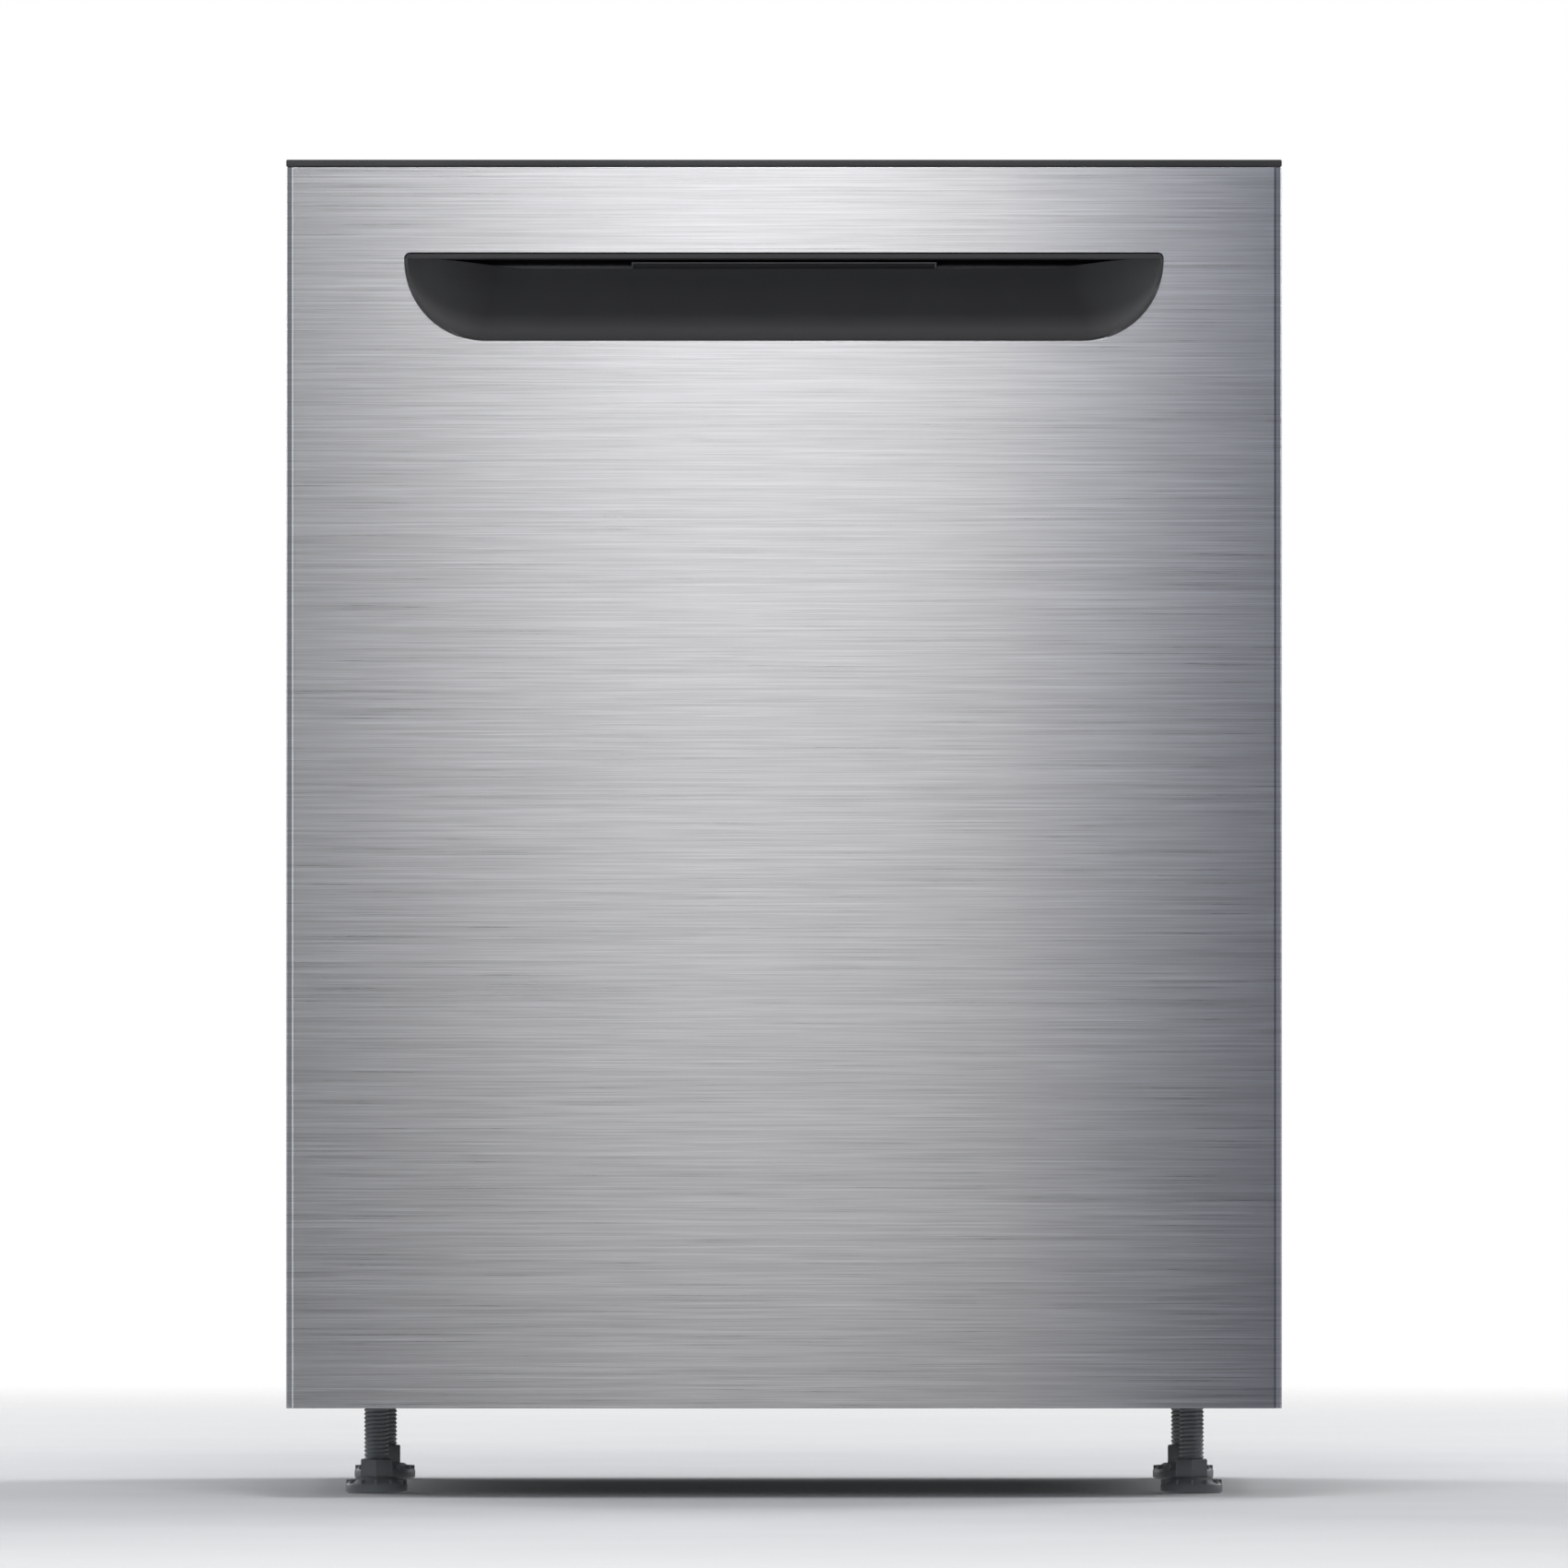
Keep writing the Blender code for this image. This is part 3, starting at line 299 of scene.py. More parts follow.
LOOKS = {
    "front_steel": brushed_steel("front_steel", (0.60, 0.60, 0.615), (14.0, 14.0, 2600.0), 0.20),
    "tub_steel": sheet_steel("tub_steel", (0.57, 0.57, 0.58), 0.42),
    "liner_steel": sheet_steel("liner_steel", (0.64, 0.64, 0.655), 0.24),
    "frame_steel": sheet_steel("frame_steel", (0.58, 0.58, 0.59), 0.36),
    "rail_steel": sheet_steel("rail_steel", (0.70, 0.70, 0.71), 0.20),
    "heater_steel": sheet_steel("heater_steel", (0.42, 0.41, 0.40), 0.38),
    "zinc": zinc("zinc"),
    "screw_steel": zinc("screw_steel", (0.62, 0.62, 0.63)),
    "charcoal": plastic("charcoal", (0.052, 0.052, 0.054), 0.46, 1300.0, 0.00004),
    "pocket": scoop_plastic("pocket"),
    # Pale plastic used only as a painted highlight along the latch flap's edges.
    "worn_edge": plastic("worn_edge", (0.30, 0.30, 0.305), 0.42, 1500.0, 0.00002),
    "key": plastic("key", (0.018, 0.018, 0.020), 0.32, 1500.0, 0.00002),
    "black": plastic("black", (0.018, 0.018, 0.019), 0.48, 700.0, 0.00010),
    "grey": plastic("grey", (0.24, 0.25, 0.26), 0.42, 800.0, 0.00008),
    "arm_grey": plastic("arm_grey", (0.36, 0.37, 0.385), 0.38, 800.0, 0.00006),
    "pale": plastic("pale", (0.66, 0.67, 0.68), 0.38, 800.0, 0.00006, 0.06),
    "blue": plastic("blue", (0.10, 0.22, 0.42), 0.40, 900.0, 0.00006),
    "coat": plastic("coat", (0.36, 0.385, 0.41), 0.30, 500.0, 0.00004, 0.08),
    "lens": plastic("lens", (0.42, 0.44, 0.46), 0.22, 1500.0, 0.00002, 0.08),
    "window": glossy_dark("window"),
    "rubber": rubber("rubber"),
    "felt": felt("felt"),
    "bitumen": felt("bitumen", (0.03, 0.03, 0.032), (0.06, 0.06, 0.06)),
    "foil": sheet_steel("foil", (0.50, 0.50, 0.51), 0.46),
    "board": circuit_board("board"),
    "sieve": perforated("sieve", (0.62, 0.62, 0.63)),
}
SLOTS = {
    look: slot
    for slot, looks in {
        "brushed_steel": "front_steel",
        "tub_steel": "tub_steel liner_steel frame_steel rail_steel heater_steel sieve foil",
        "galvanised": "zinc screw_steel",
        "charcoal_plastic": "charcoal pocket worn_edge",
        "black_plastic": "black key window",
        "grey_plastic": "grey arm_grey",
        "light_plastic": "pale lens blue",
        "coated_wire": "coat",
        "rubber": "rubber",
        "felt": "felt bitumen",
    }.items()
    for look in looks.split()
}


# ---- shape helpers ------------------------------------------------------------------------------

def metres(lengths):
    """Blender's metres, from this script's millimetres."""
    return [length * MM for length in lengths]


def shift(point):
    """The matrix that moves the origin to a point."""
    return Matrix.Translation(metres(point))


def around(middle, reach):
    """Two limits, a reach below and above a middle."""
    return middle - reach, middle + reach


def slab(shape, place, size, round_by=0.0, steps=2):
    """A box of a size, put in place by a matrix, with rounded edges."""
    stretch = Matrix.Diagonal((*metres(size), 1.0))
    made = bmesh.ops.create_cube(shape, size=1.0, matrix=place @ stretch)["verts"]
    if round_by:
        edges = {edge for vert in made for edge in vert.link_edges}
        width = min(round_by, min(size) * 0.45) * MM
        bmesh.ops.bevel(shape, geom=list(edges), offset=width, segments=steps, profile=0.5, affect="EDGES")


def block(shape, xs, ys, zs, round_by=0.8, steps=2):
    """A box between three pairs of limits, with rounded edges."""
    size = [high - low for low, high in (xs, ys, zs)]
    middle = [(low + high) / 2 for low, high in (xs, ys, zs)]
    slab(shape, shift(middle), size, round_by, steps)


def block_pair(shape, xs, ys, zs, round_by=0.8, steps=2):
    """The same block on the left and on the right."""
    block(shape, (-xs[1], -xs[0]), ys, zs, round_by, steps)
    block(shape, xs, ys, zs, round_by, steps)


def spokes(shape, hub, axis, count, out, size, start=0.0, round_by=0.0):
    """Boxes evenly round an axis through a hub; `out` is where the first one is, from the hub."""
    for number in range(count):
        turn = Matrix.Rotation(math.tau * (number + start) / count, 4, axis)
        slab(shape, shift(hub) @ turn @ shift(out), size, round_by)


TURN = {
    "X": Matrix.Rotation(math.radians(90), 4, "Y"),
    "Y": Matrix.Rotation(math.radians(-90), 4, "X"),
    "Z": Matrix.Identity(4),
}


def drum(shape, centre, axis, radius, length, radius2=None, sides=32, round_by=0.6):
    """A cylinder or cone about its centre, with rounded rims."""
    place = shift(centre) @ TURN[axis]
    end = radius if radius2 is None else radius2
    made = bmesh.ops.create_cone(shape, cap_ends=True, segments=sides, radius1=radius * MM, radius2=end * MM,
                                 depth=length * MM, matrix=place)["verts"]
    if round_by:
        rims = {edge for vert in made for edge in vert.link_edges if len(edge.link_faces) == 2
                and any(len(face.verts) > 4 for face in edge.link_faces)}
        width = min(round_by, length * 0.4) * MM
        bmesh.ops.bevel(shape, geom=list(rims), offset=width, segments=2, profile=0.5, affect="EDGES")


def lathe(shape, profile, centre, axis="Z", steps=40):
    """A closed profile of (radius, height) points, turned about an axis through centre."""
    place = shift(centre) @ TURN[axis]
    loops = []
    for radius, height in profile:
        if radius < 1e-6:
            loops.append([shape.verts.new(place @ Vector(metres((0.0, 0.0, height))))] * steps)
        else:
            spots = [place @ Vector(metres((x, y, height))) for x, y in circle(radius, steps)]
            loops.append([shape.verts.new(spot) for spot in spots])
    for near, far in zip(loops, loops[1:] + loops[:1]):
        for index in range(steps):
            corners = []
            for corner in (near[index - 1], near[index], far[index], far[index - 1]):
                if corner not in corners:
                    corners.append(corner)
            if len(corners) > 2:
                shape.faces.new(corners)


def circle(radius, steps):
    """Points (x, y) evenly round a circle."""
    turns = [math.tau * step / steps for step in range(steps)]
    return [(radius * math.cos(turn), radius * math.sin(turn)) for turn in turns]


def arc(centre, radius, start, end, steps):
    """Points on a circular arc, angles in degrees."""
    found = []
    for step in range(steps + 1):
        angle = math.radians(start + (end - start) * step / steps)
        found.append((centre[0] + radius * math.cos(angle), centre[1] + radius * math.sin(angle)))
    return found


def rounded(half, low, high, low_radius, high_radius, steps=8, centre=0.0):
    """A rectangle outline with its own radius for the lower and the upper corners."""
    points = arc((centre + half - low_radius, low + low_radius), low_radius, -90, 0, steps)
    points += arc((centre + half - high_radius, high - high_radius), high_radius, 0, 90, steps)
    points += arc((centre - half + high_radius, high - high_radius), high_radius, 90, 180, steps)
    points += arc((centre - half + low_radius, low + low_radius), low_radius, 180, 270, steps)
    return points


def prism(shape, points, lift, thickness):
    """A flat outline made solid: `lift` turns (across, up, depth) into a place."""
    near = [shape.verts.new(metres(lift(a, b, 0.0))) for a, b in points]
    far = [shape.verts.new(metres(lift(a, b, thickness))) for a, b in points]
    shape.faces.new(near)
    shape.faces.new(list(reversed(far)))
    for index in range(len(points)):
        shape.faces.new((near[index - 1], far[index - 1], far[index], near[index]))


def solid(name, shape):
    """An object from a bmesh, with its faces pointing out."""
    bmesh.ops.recalc_face_normals(shape, faces=shape.faces)
    mesh = bpy.data.meshes.new(name)
    shape.to_mesh(mesh)
    shape.free()
    thing = bpy.data.objects.new(name, mesh)
    bpy.context.scene.collection.objects.link(thing)
    return thing


def round_edges(thing, width, steps=2, angle=60, harden=True):
    """A Bevel modifier on the edges that are sharper than an angle."""
    step = thing.modifiers.new("edges", "BEVEL")
    step.width = width * MM
    step.segments = steps
    step.limit_method = "ANGLE"
    step.angle_limit = math.radians(angle)
    step.harden_normals = harden


def piece(name, shape, look, body, replaces=(), slot=None, sharp=35, bevel=0.0):
    """Wrap a bmesh as a finished piece that rides on a body."""
    thing = solid(name, shape)
    thing.data.shade_smooth()
    thing.data.set_sharp_from_angle(angle=math.radians(sharp))
    if bevel:
        round_edges(thing, bevel, angle=40)
    return dress(thing, look, body, replaces, slot)


def dress(thing, look, body, replaces=(), slot=None):
    """Give an object its material, body and replaced nodes; its slot is looked up but not kept."""
    thing.data.materials.append(LOOKS[look])
    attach(thing, body)
    if replaces:
        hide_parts(*replaces)
    slot = SLOTS[look] if slot is None else slot
    return thing


def wires(name, lines, radius, look, body, replaces=(), sides=3):
    """Many round wires in one curve: each line is (points, closed)."""
    curve = bpy.data.curves.new(name, "CURVE")
    curve.dimensions = "3D"
    curve.bevel_depth = radius * MM
    curve.bevel_resolution = sides
    curve.use_fill_caps = True
    for points, closed in lines:
        spline = curve.splines.new("POLY")
        spline.points.add(len(points) - 1)
        for place, point in zip(spline.points, points):
            place.co = (*metres(point), 1.0)
        spline.use_cyclic_u = closed
    thing = bpy.data.objects.new(name, curve)
    bpy.context.scene.collection.objects.link(thing)
    dress(thing, look, body, replaces)


def bend(points, radius, steps=5):
    """A line through points with each corner rounded."""
    points = [Vector(point) for point in points]
    found = [points[0]]
    for before, here, after in zip(points, points[1:], points[2:]):
        start = here + (before - here).normalized() * radius
        end = here + (after - here).normalized() * radius
        for step in range(steps + 1):
            share = step / steps
            found.append(start * (1 - share) ** 2 + here * 2 * share * (1 - share) + end * share ** 2)
    return found + [points[-1]]


def paint(look, *nodes):
    """Give carried-over CAD nodes their finished material."""
    for node in nodes:
        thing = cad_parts[node]
        for holder in thing.material_slots:
            holder.material = LOOKS[look]
        if not thing.material_slots:
            thing.data.materials.append(LOOKS[look])


def cut_with(target, cutter_shape):
    """Take a bmesh's volume out of an object, at once."""
    cutter = solid("cutter", cutter_shape)
    step = target.modifiers.new("cut", "BOOLEAN")
    step.operation = "DIFFERENCE"
    step.solver = "EXACT"
    step.object = cutter
    bpy.context.view_layer.update()
    graph = bpy.context.evaluated_depsgraph_get()
    result = bpy.data.meshes.new_from_object(target.evaluated_get(graph))
    target.modifiers.clear()
    target.data = result
    bpy.data.objects.remove(cutter)
    target.data.set_sharp_from_angle(angle=math.radians(35))


def screw_head(shape, at, axis, radius=4.2):
    """A low dome with a cross recess, standing on a face whose outward axis is +X, -X, +Y, -Y, +Z or -Z."""
    sign = -1 if axis[0] == "-" else 1
    out = {"X": Vector((1, 0, 0)), "Y": Vector((0, 1, 0)), "Z": Vector((0, 0, 1))}[axis[1]] * sign
    turn = out.to_track_quat("Z", "Y").to_matrix().to_4x4()
    place = shift(at) @ turn
    rings = ((1.0, 0.0), (1.0, 0.25), (0.86, 0.42), (0.55, 0.52), (0.30, 0.55))
    loops = []
    for share, height in rings:
        loops.append([place @ Vector(metres((x, y, radius * height))) for x, y in circle(radius * share, 16)])
    pit = []
    for step, (x, y) in enumerate(circle(radius * 0.12, 16)):
        pit.append(place @ Vector(metres((x, y, radius * (0.30 if step % 4 else 0.12)))))
    loops.append(pit)
    skin(shape, loops, close_first=True)


def limits(node):
    """((x low, x high), (y low, y high), (z low, z high)) of a CAD node, in millimetres."""
    return tuple((low / MM, high / MM) for low, high in zip(*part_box(node)))


def centre_of(node):
    """(x, y, z) of the middle of a CAD node, in millimetres."""
    return tuple((low + high) / 2 for low, high in limits(node))


def from_front(y):
    """Lift that turns an outline in (x, z) into a plate whose near side is at y."""
    return lambda a, b, depth: (a, y + depth, b)


def from_below(z):
    """Lift that turns an outline in (x, y) into a plate whose underside is at z."""
    return lambda a, b, depth: (a, b, z + depth)


def from_left(x):
    """Lift that turns an outline in (y, z) into a plate whose left side is at x."""
    return lambda a, b, depth: (x + depth, a, b)


def loft(shape, rings, close_first=False):
    """Skin a list of rings, each a list of points in millimetres. The last one is always filled."""
    skin(shape, [[metres(point) for point in ring] for ring in rings], close_first)


def skin(shape, rings, close_first):
    """The same, for points that a matrix has already put in place."""
    made = [[shape.verts.new(point) for point in ring] for ring in rings]
    for near, far in zip(made, made[1:]):
        for index in range(len(near)):
            shape.faces.new((near[index - 1], near[index], far[index], far[index - 1]))
    if close_first:
        shape.faces.new(made[0])
    shape.faces.new(list(reversed(made[-1])))


def thicken(thing, thickness, inside=False):
    """Give a bowl that opens toward -Y its wall: outside the surface, or inside it."""
    facing = sum(face.normal.y * face.area for face in thing.data.polygons)
    step = thing.modifiers.new("wall", "SOLIDIFY")
    step.thickness = thickness * MM
    step.offset = -1.0 if (facing < 0) != inside else 1.0


def soften(*nodes, width=0.8):
    """Round the edges of carried-over CAD nodes with a modifier."""
    for node in nodes:
        round_edges(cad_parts[node], width, angle=35)


def mirrored(points):
    """The same outline on the left, in an order that continues the right one."""
    return [(-x, y) for x, y in reversed(points)]


def threaded(shape, centre, axis, radius, depth, pitch, length, sides=28):
    """A screw thread about an axis, its middle at centre."""
    place = shift(centre) @ TURN[axis]
    rows = int(length / pitch * 4)
    rings = []
    for row in range(rows + 1):
        height = -length / 2 + length * row / rows
        ring = []
        for side, (x, y) in enumerate(circle(1.0, sides)):
            phase = (height / pitch - side / sides) % 1.0
            reach = radius - depth * abs(2 * phase - 1)
            ring.append(place @ Vector(metres((reach * x, reach * y, height))))
        rings.append(ring)
    skin(shape, rings, close_first=True)


# ---- door ---------------------------------------------------------------------------------------

PANEL_X, PANEL_Y, PANEL_Z = limits("door_outer_panel")
FRONT = PANEL_Y[0]
DOOR_HALF = PANEL_X[1]
SHEET = 1.2
FOLD = 4.5
POCKET_HALF = 231.0
POCKET_LOW = 704.6
POCKET_HIGH = 758.4
POCKET_LOW_RADIUS = 49.4
POCKET_HIGH_RADIUS = 3.4
POCKET_DEPTH = 44.2
FLOOR_RISE = 44.8       # how far the pocket's floor curves up on its way back
END_CLOSE = 60.0        # how far its ends curve in


def door_front():
    """Folded front sheet with the handle's opening, and the hem along its foot."""
    back = PANEL_Y[1]
    centre = (DOOR_HALF - FOLD, FRONT + FOLD)
    flat = centre[0] - 0.4
    outer = [(DOOR_HALF, back)] + arc(centre, FOLD, 0, -90, 12) + [(flat, FRONT)]
    inner = [(flat, FRONT + SHEET)] + arc(centre, FOLD - SHEET, -90, 0, 8) + [(DOOR_HALF - SHEET, back)]
    shape = bmesh.new()
    plan = outer + mirrored(outer) + mirrored(inner) + inner
    prism(shape, plan, from_below(PANEL_Z[0]), PANEL_Z[1] - PANEL_Z[0])
    front = piece("door_front", shape, "front_steel", DOOR, ["door_outer_panel"])
    opening = bmesh.new()
    outline = rounded(POCKET_HALF, POCKET_LOW, POCKET_HIGH, POCKET_LOW_RADIUS, POCKET_HIGH_RADIUS, 24)
    prism(opening, outline, from_front(FRONT - 5), 10)
    cut_with(front, opening)
    round_edges(front, 0.3)
    hem = bmesh.new()
    foot = PANEL_Z[0]
    block(hem, (-DOOR_HALF + 0.8, DOOR_HALF - 0.8), (FRONT + 0.9, FRONT + 30), (foot + 0.1, foot + 1.3), 0.3)
    block_pair(hem, (DOOR_HALF - 2.3, DOOR_HALF - 1.1), (FRONT + 6, FRONT + 34), (foot + 1, foot + 18), 0.3)
    piece("door_foot_hem", hem, "frame_steel", DOOR)


def pocket_outline(side, top, y, rise=0.0, close=0.0):
    """One ring of the scoop: `side` and `top` are insets, the floor rises and the ends close in."""
    low = POCKET_LOW + side + rise
    high = POCKET_HIGH - top
    low_radius = min(POCKET_LOW_RADIUS - side, high - low - 2.0)
    high_radius = max(POCKET_HIGH_RADIUS - top, 0.6)
    points = rounded(POCKET_HALF - side - close, low, high, low_radius, high_radius, 14)
    return [(x, y, z) for x, z in points]


def handle_scoop():
    """Scooped handle: a flat rim that is wide along the top, a curved floor, and the latch flap's slot."""
    rings = [
        pocket_outline(0.70, 0.80, FRONT + 1.0),
        pocket_outline(0.70, 0.80, FRONT + 0.45),
        pocket_outline(0.88, 1.00, FRONT + 0.25),
        pocket_outline(1.10, 3.25, FRONT + 0.25),
        pocket_outline(1.22, 3.45, FRONT + 0.40),
    ]
    for turn in (3, 6, 10, 15, 21, 28, 35, 42, 49, 56, 62, 68, 74, 79, 84):
        inward = 1 - math.cos(math.radians(turn))
        top = 3.45 if turn < 4 else 1.9
        y = FRONT + 0.4 + POCKET_DEPTH * math.sin(math.radians(turn))
        rings.append(pocket_outline(1.25, top, y, FLOOR_RISE * inward, END_CLOSE * inward))
    shape = bmesh.new()
    loft(shape, rings)
    scoop = piece("handle_scoop", shape, "pocket", DOOR, ["handle_pocket"], sharp=50)
    thicken(scoop, 1.2)
    low, high = 749.4, 754.9
    slot_half, taper_length = 152.7, 63
    slot = bmesh.new()
    taper = []
    for step in range(13):
        share = step / 12
        eased = share * share * (3 - 2 * share)
        taper.append((slot_half + taper_length * share, low + (high - low) * eased))
    prism(slot, taper + mirrored(taper), from_front(FRONT + 22), 31)
    cut_with(scoop, slot)


def latch_flap():
    """Flap behind the slot, with a rounded rim, stiffening ribs and its axle, and a pale bead along its top
    and sides as a painted highlight.
    """
    (x_low, x_high), _, (z_low, z_high) = limits("latch_paddle")
    y = FRONT + 46.7
    shape = bmesh.new()
    block(shape, (x_low + 3, x_high - 3), (y, y + 1.5), (z_low + 0.1, z_high), 0.6, 4)
    for number in range(9):
        x = -80 + number * 20
        block(shape, around(x, 0.6), (y + 1.2, y + 2.1), (z_low + 2, z_high - 2), 0.3)
    drum(shape, (0.0, y + 1.1, 731.8), "X", 1.7, x_high - x_low, sides=20)
    piece("latch_flap", shape, "pocket", "latch_paddle", ["latch_paddle"])
    # Painted highlight: a pale bead along the flap's top and side edges stands in for the light those edges
    # catch.
    edge = bmesh.new()
    block(edge, (x_low + 3, x_high - 3), (y - 0.35, y + 0.5), (z_high - 0.75, z_high - 0.05), 0.25)
    for side in (-1, 1):
        x = side * (x_high - 3.5)
        block(edge, around(x, 0.4), (y - 0.35, y + 0.5), (748.6, z_high - 0.1), 0.25)
    piece("flap_painted_highlight", edge, "worn_edge", "latch_paddle")


KEYS = ("power", "program", "options", "delay", "start")


def key_outline(key, inset, radius):
    """Outline of a key seen from above, drawn in by an inset."""
    (left, right), (near, far), _ = limits("button_" + key)
    x, y, _ = centre_of("button_" + key)
    low, high = around(y, (far - near) / 2 - inset)
    return rounded((right - left) / 2 - inset, low, high, radius, radius, 5, x)


def top_console():
    """Plastic strip along the door's top edge with wells for the keys, a window and lamp lenses."""
    (x_low, x_high), (y_low, y_high), (z_low, z_high) = limits("console")
    strip_low = z_high - 4.3
    strip = bmesh.new()
    block(strip, (x_low, x_high), (y_low, y_high), (strip_low, z_high), 0.9, 3)
    strip = piece("console_strip", strip, "charcoal", DOOR, ["console"], sharp=45)
    body = bmesh.new()
    block(body, (-295, 295), (FRONT + 2, FRONT + 30), (z_low, strip_low - 0.1), 1.0)
    body = piece("console_body", body, "charcoal", DOOR, sharp=45)
    for target in (strip, body):
        wells = bmesh.new()
        for key in KEYS:
            prism(wells, key_outline(key, -0.25, 2.2), from_below(805), 15)
        cut_with(target, wells)
    window = bmesh.new()
    prism(window, rounded(44, FRONT + 15, FRONT + 29, 2, 2, 5, 25), from_below(z_high - 0.6), 0.5)
    seat = bmesh.new()
    prism(seat, rounded(44.2, FRONT + 14.8, FRONT + 29.2, 2.2, 2.2, 5, 25), from_below(z_high - 0.9), 5)
    cut_with(strip, seat)
    piece("console_window", window, "window", DOOR, bevel=0.1)
    for key in KEYS[:4]:
        x = centre_of("button_" + key)[0]
        far = limits("button_" + key)[1][1]
        lens = bmesh.new()
        dome = [(0.0, -0.3), (1.1, -0.3), (1.1, 0.1), (0.8, 0.25), (0.0, 0.28)]
        lathe(lens, dome, (x, far + 4.5, z_high - 0.3), "Z", 16)
        piece("lamp_lens_" + key, lens, "lens", DOOR)


def console_keys():
    """Each key: a rounded cap with a shallow dish."""
    for key in KEYS:
        node = "button_" + key
        low, high = limits(node)[2]
        rings = []
        for inset, z in ((0.0, low), (0.0, high - 0.6), (0.15, high - 0.2), (0.5, high),
                         (1.4, high), (2.6, high - 0.25)):
            rings.append([(x, y, z) for x, y in key_outline(key, inset, max(2.0 - inset, 0.6))])
        shape = bmesh.new()
        loft(shape, rings, close_first=True)
        piece("key_" + key, shape, "key", node, [node], sharp=50)


def door_electronics():
    """Relays, capacitors and plugs under the control board, and the latch body in black plastic."""
    paint("board", "control_board")
    board_low = limits("control_board")[2][0]
    middle = FRONT + 15
    shape = bmesh.new()
    for x in (-190, -160, -130, 60, 95):
        block(shape, (x, x + 20), (middle - 7, middle + 8), (board_low - 14, board_low + 0.2), 0.6)
    piece("board_relays", shape, "black", DOOR)
    shape = bmesh.new()
    for x in (-90, -70, -50, 130, 150):
        drum(shape, (x, middle, board_low - 8), "Z", 7, 16, round_by=1.0)
    piece("board_capacitors", shape, "screw_steel", DOOR)
    shape = bmesh.new()
    for x in (-25, 5, 180):
        block(shape, (x, x + 24), around(middle, 5), (board_low - 9, board_low + 0.2), 0.8)
    piece("board_plugs", shape, "pale", DOOR)
    paint("black", "door_latch")
    soften("door_latch", width=0.5)


PLUG_FACE = FRONT + 60


def panel_ring(half, low, high, radius, y):
    """An upright rounded rectangle at a depth."""
    return [(x, y, z) for x, z in rounded(half, low, high, radius, radius)]


def inner_liner():
    """Pressed inner sheet: rim, raised middle with a shallow field, wheel tracks and screws."""
    (_, x_high), _, (z_low, z_high) = limits("door_inner_liner")
    rim = FRONT + 40
    rings = [
        panel_ring(x_high, z_low, z_high, 4, rim - 1.6),
        panel_ring(x_high, z_low, z_high, 4, rim - 0.6),
        panel_ring(x_high - 0.6, z_low + 0.6, z_high - 0.6, 4, rim),
        panel_ring(278.0, 163.0, 784.0, 14, rim),
        panel_ring(275.2, 165.8, 781.2, 12, rim + 2.0),
        panel_ring(274.6, 166.4, 780.6, 12, PLUG_FACE - 4.0),
        panel_ring(273.4, 167.6, 779.4, 11, PLUG_FACE - 1.2),
        panel_ring(270.8, 170.2, 776.8, 9, PLUG_FACE),
        panel_ring(247.0, 186.0, 758.0, 26, PLUG_FACE),
        panel_ring(245.0, 188.0, 756.0, 24, PLUG_FACE - 0.7),
        panel_ring(242.0, 191.0, 753.0, 21, PLUG_FACE - 2.6),
        panel_ring(240.0, 193.0, 751.0, 19, PLUG_FACE - 3.2),
    ]
    shape = bmesh.new()
    loft(shape, rings)
    liner = piece("door_liner", shape, "liner_steel", DOOR, ["door_inner_liner"], sharp=50)
    thicken(liner, 0.8, inside=True)
    holes = bmesh.new()
    block(holes, (-100.3, 100.3), (rim - 10, PLUG_FACE + 10), (419.7, 560.3), 0)
    block(holes, (-12.5, 12.5), around(rim, 10), (797.2, 804.8), 0)
    cut_with(liner, holes)
    tracks = bmesh.new()
    block_pair(tracks, (256.5, 270), (PLUG_FACE - 1, FRONT + 68), (172, 399.5), 2.6, 4)
    piece("door_tracks", tracks, "liner_steel", DOOR)
    heads = bmesh.new()
    for x in (-240, -150, -60, 60, 150, 240):
        screw_head(heads, (x, rim, 802.3), "+Y", 3.2)
    for side in (-1, 1):
        for z in (200, 330, 460, 590, 720):
            screw_head(heads, (side * 295.2, rim, z), "+Y", 2.7)
    piece("liner_screws", heads, "screw_steel", DOOR)
    paint("felt", "door_insulation")


def door_vent():
    """Round vent with slanted slats behind a rounded ring."""
    (x_low, x_high), (y_low, y_high), _ = limits("vent_grille")
    x, _, middle = centre_of("vent_grille")
    radius = (x_high - x_low) / 2
    depth = y_high - y_low
    shape = bmesh.new()
    ring = [(radius, 0.0), (radius, 1.6), (radius - 1.4, depth), (radius - 4, depth), (radius - 6, 1.6),
            (radius - 6, 0.0)]
    lathe(shape, ring, (x, y_low, middle), "Y", 56)
    for row in range(-4, 5):
        z = middle + row * 6.0
        reach = math.sqrt((radius - 5) ** 2 - (row * 6.0) ** 2)
        block(shape, around(x, reach), (y_low + 0.4, y_low + 2.6), around(z, 1.1), 0.5)
    piece("vent_ring", shape, "grey", DOOR, ["vent_grille"])
    back = bmesh.new()
    drum(back, (x, y_low + 0.4, middle), "Y", radius - 5.5, 0.5, round_by=0.1)
    piece("vent_back", back, "black", DOOR)


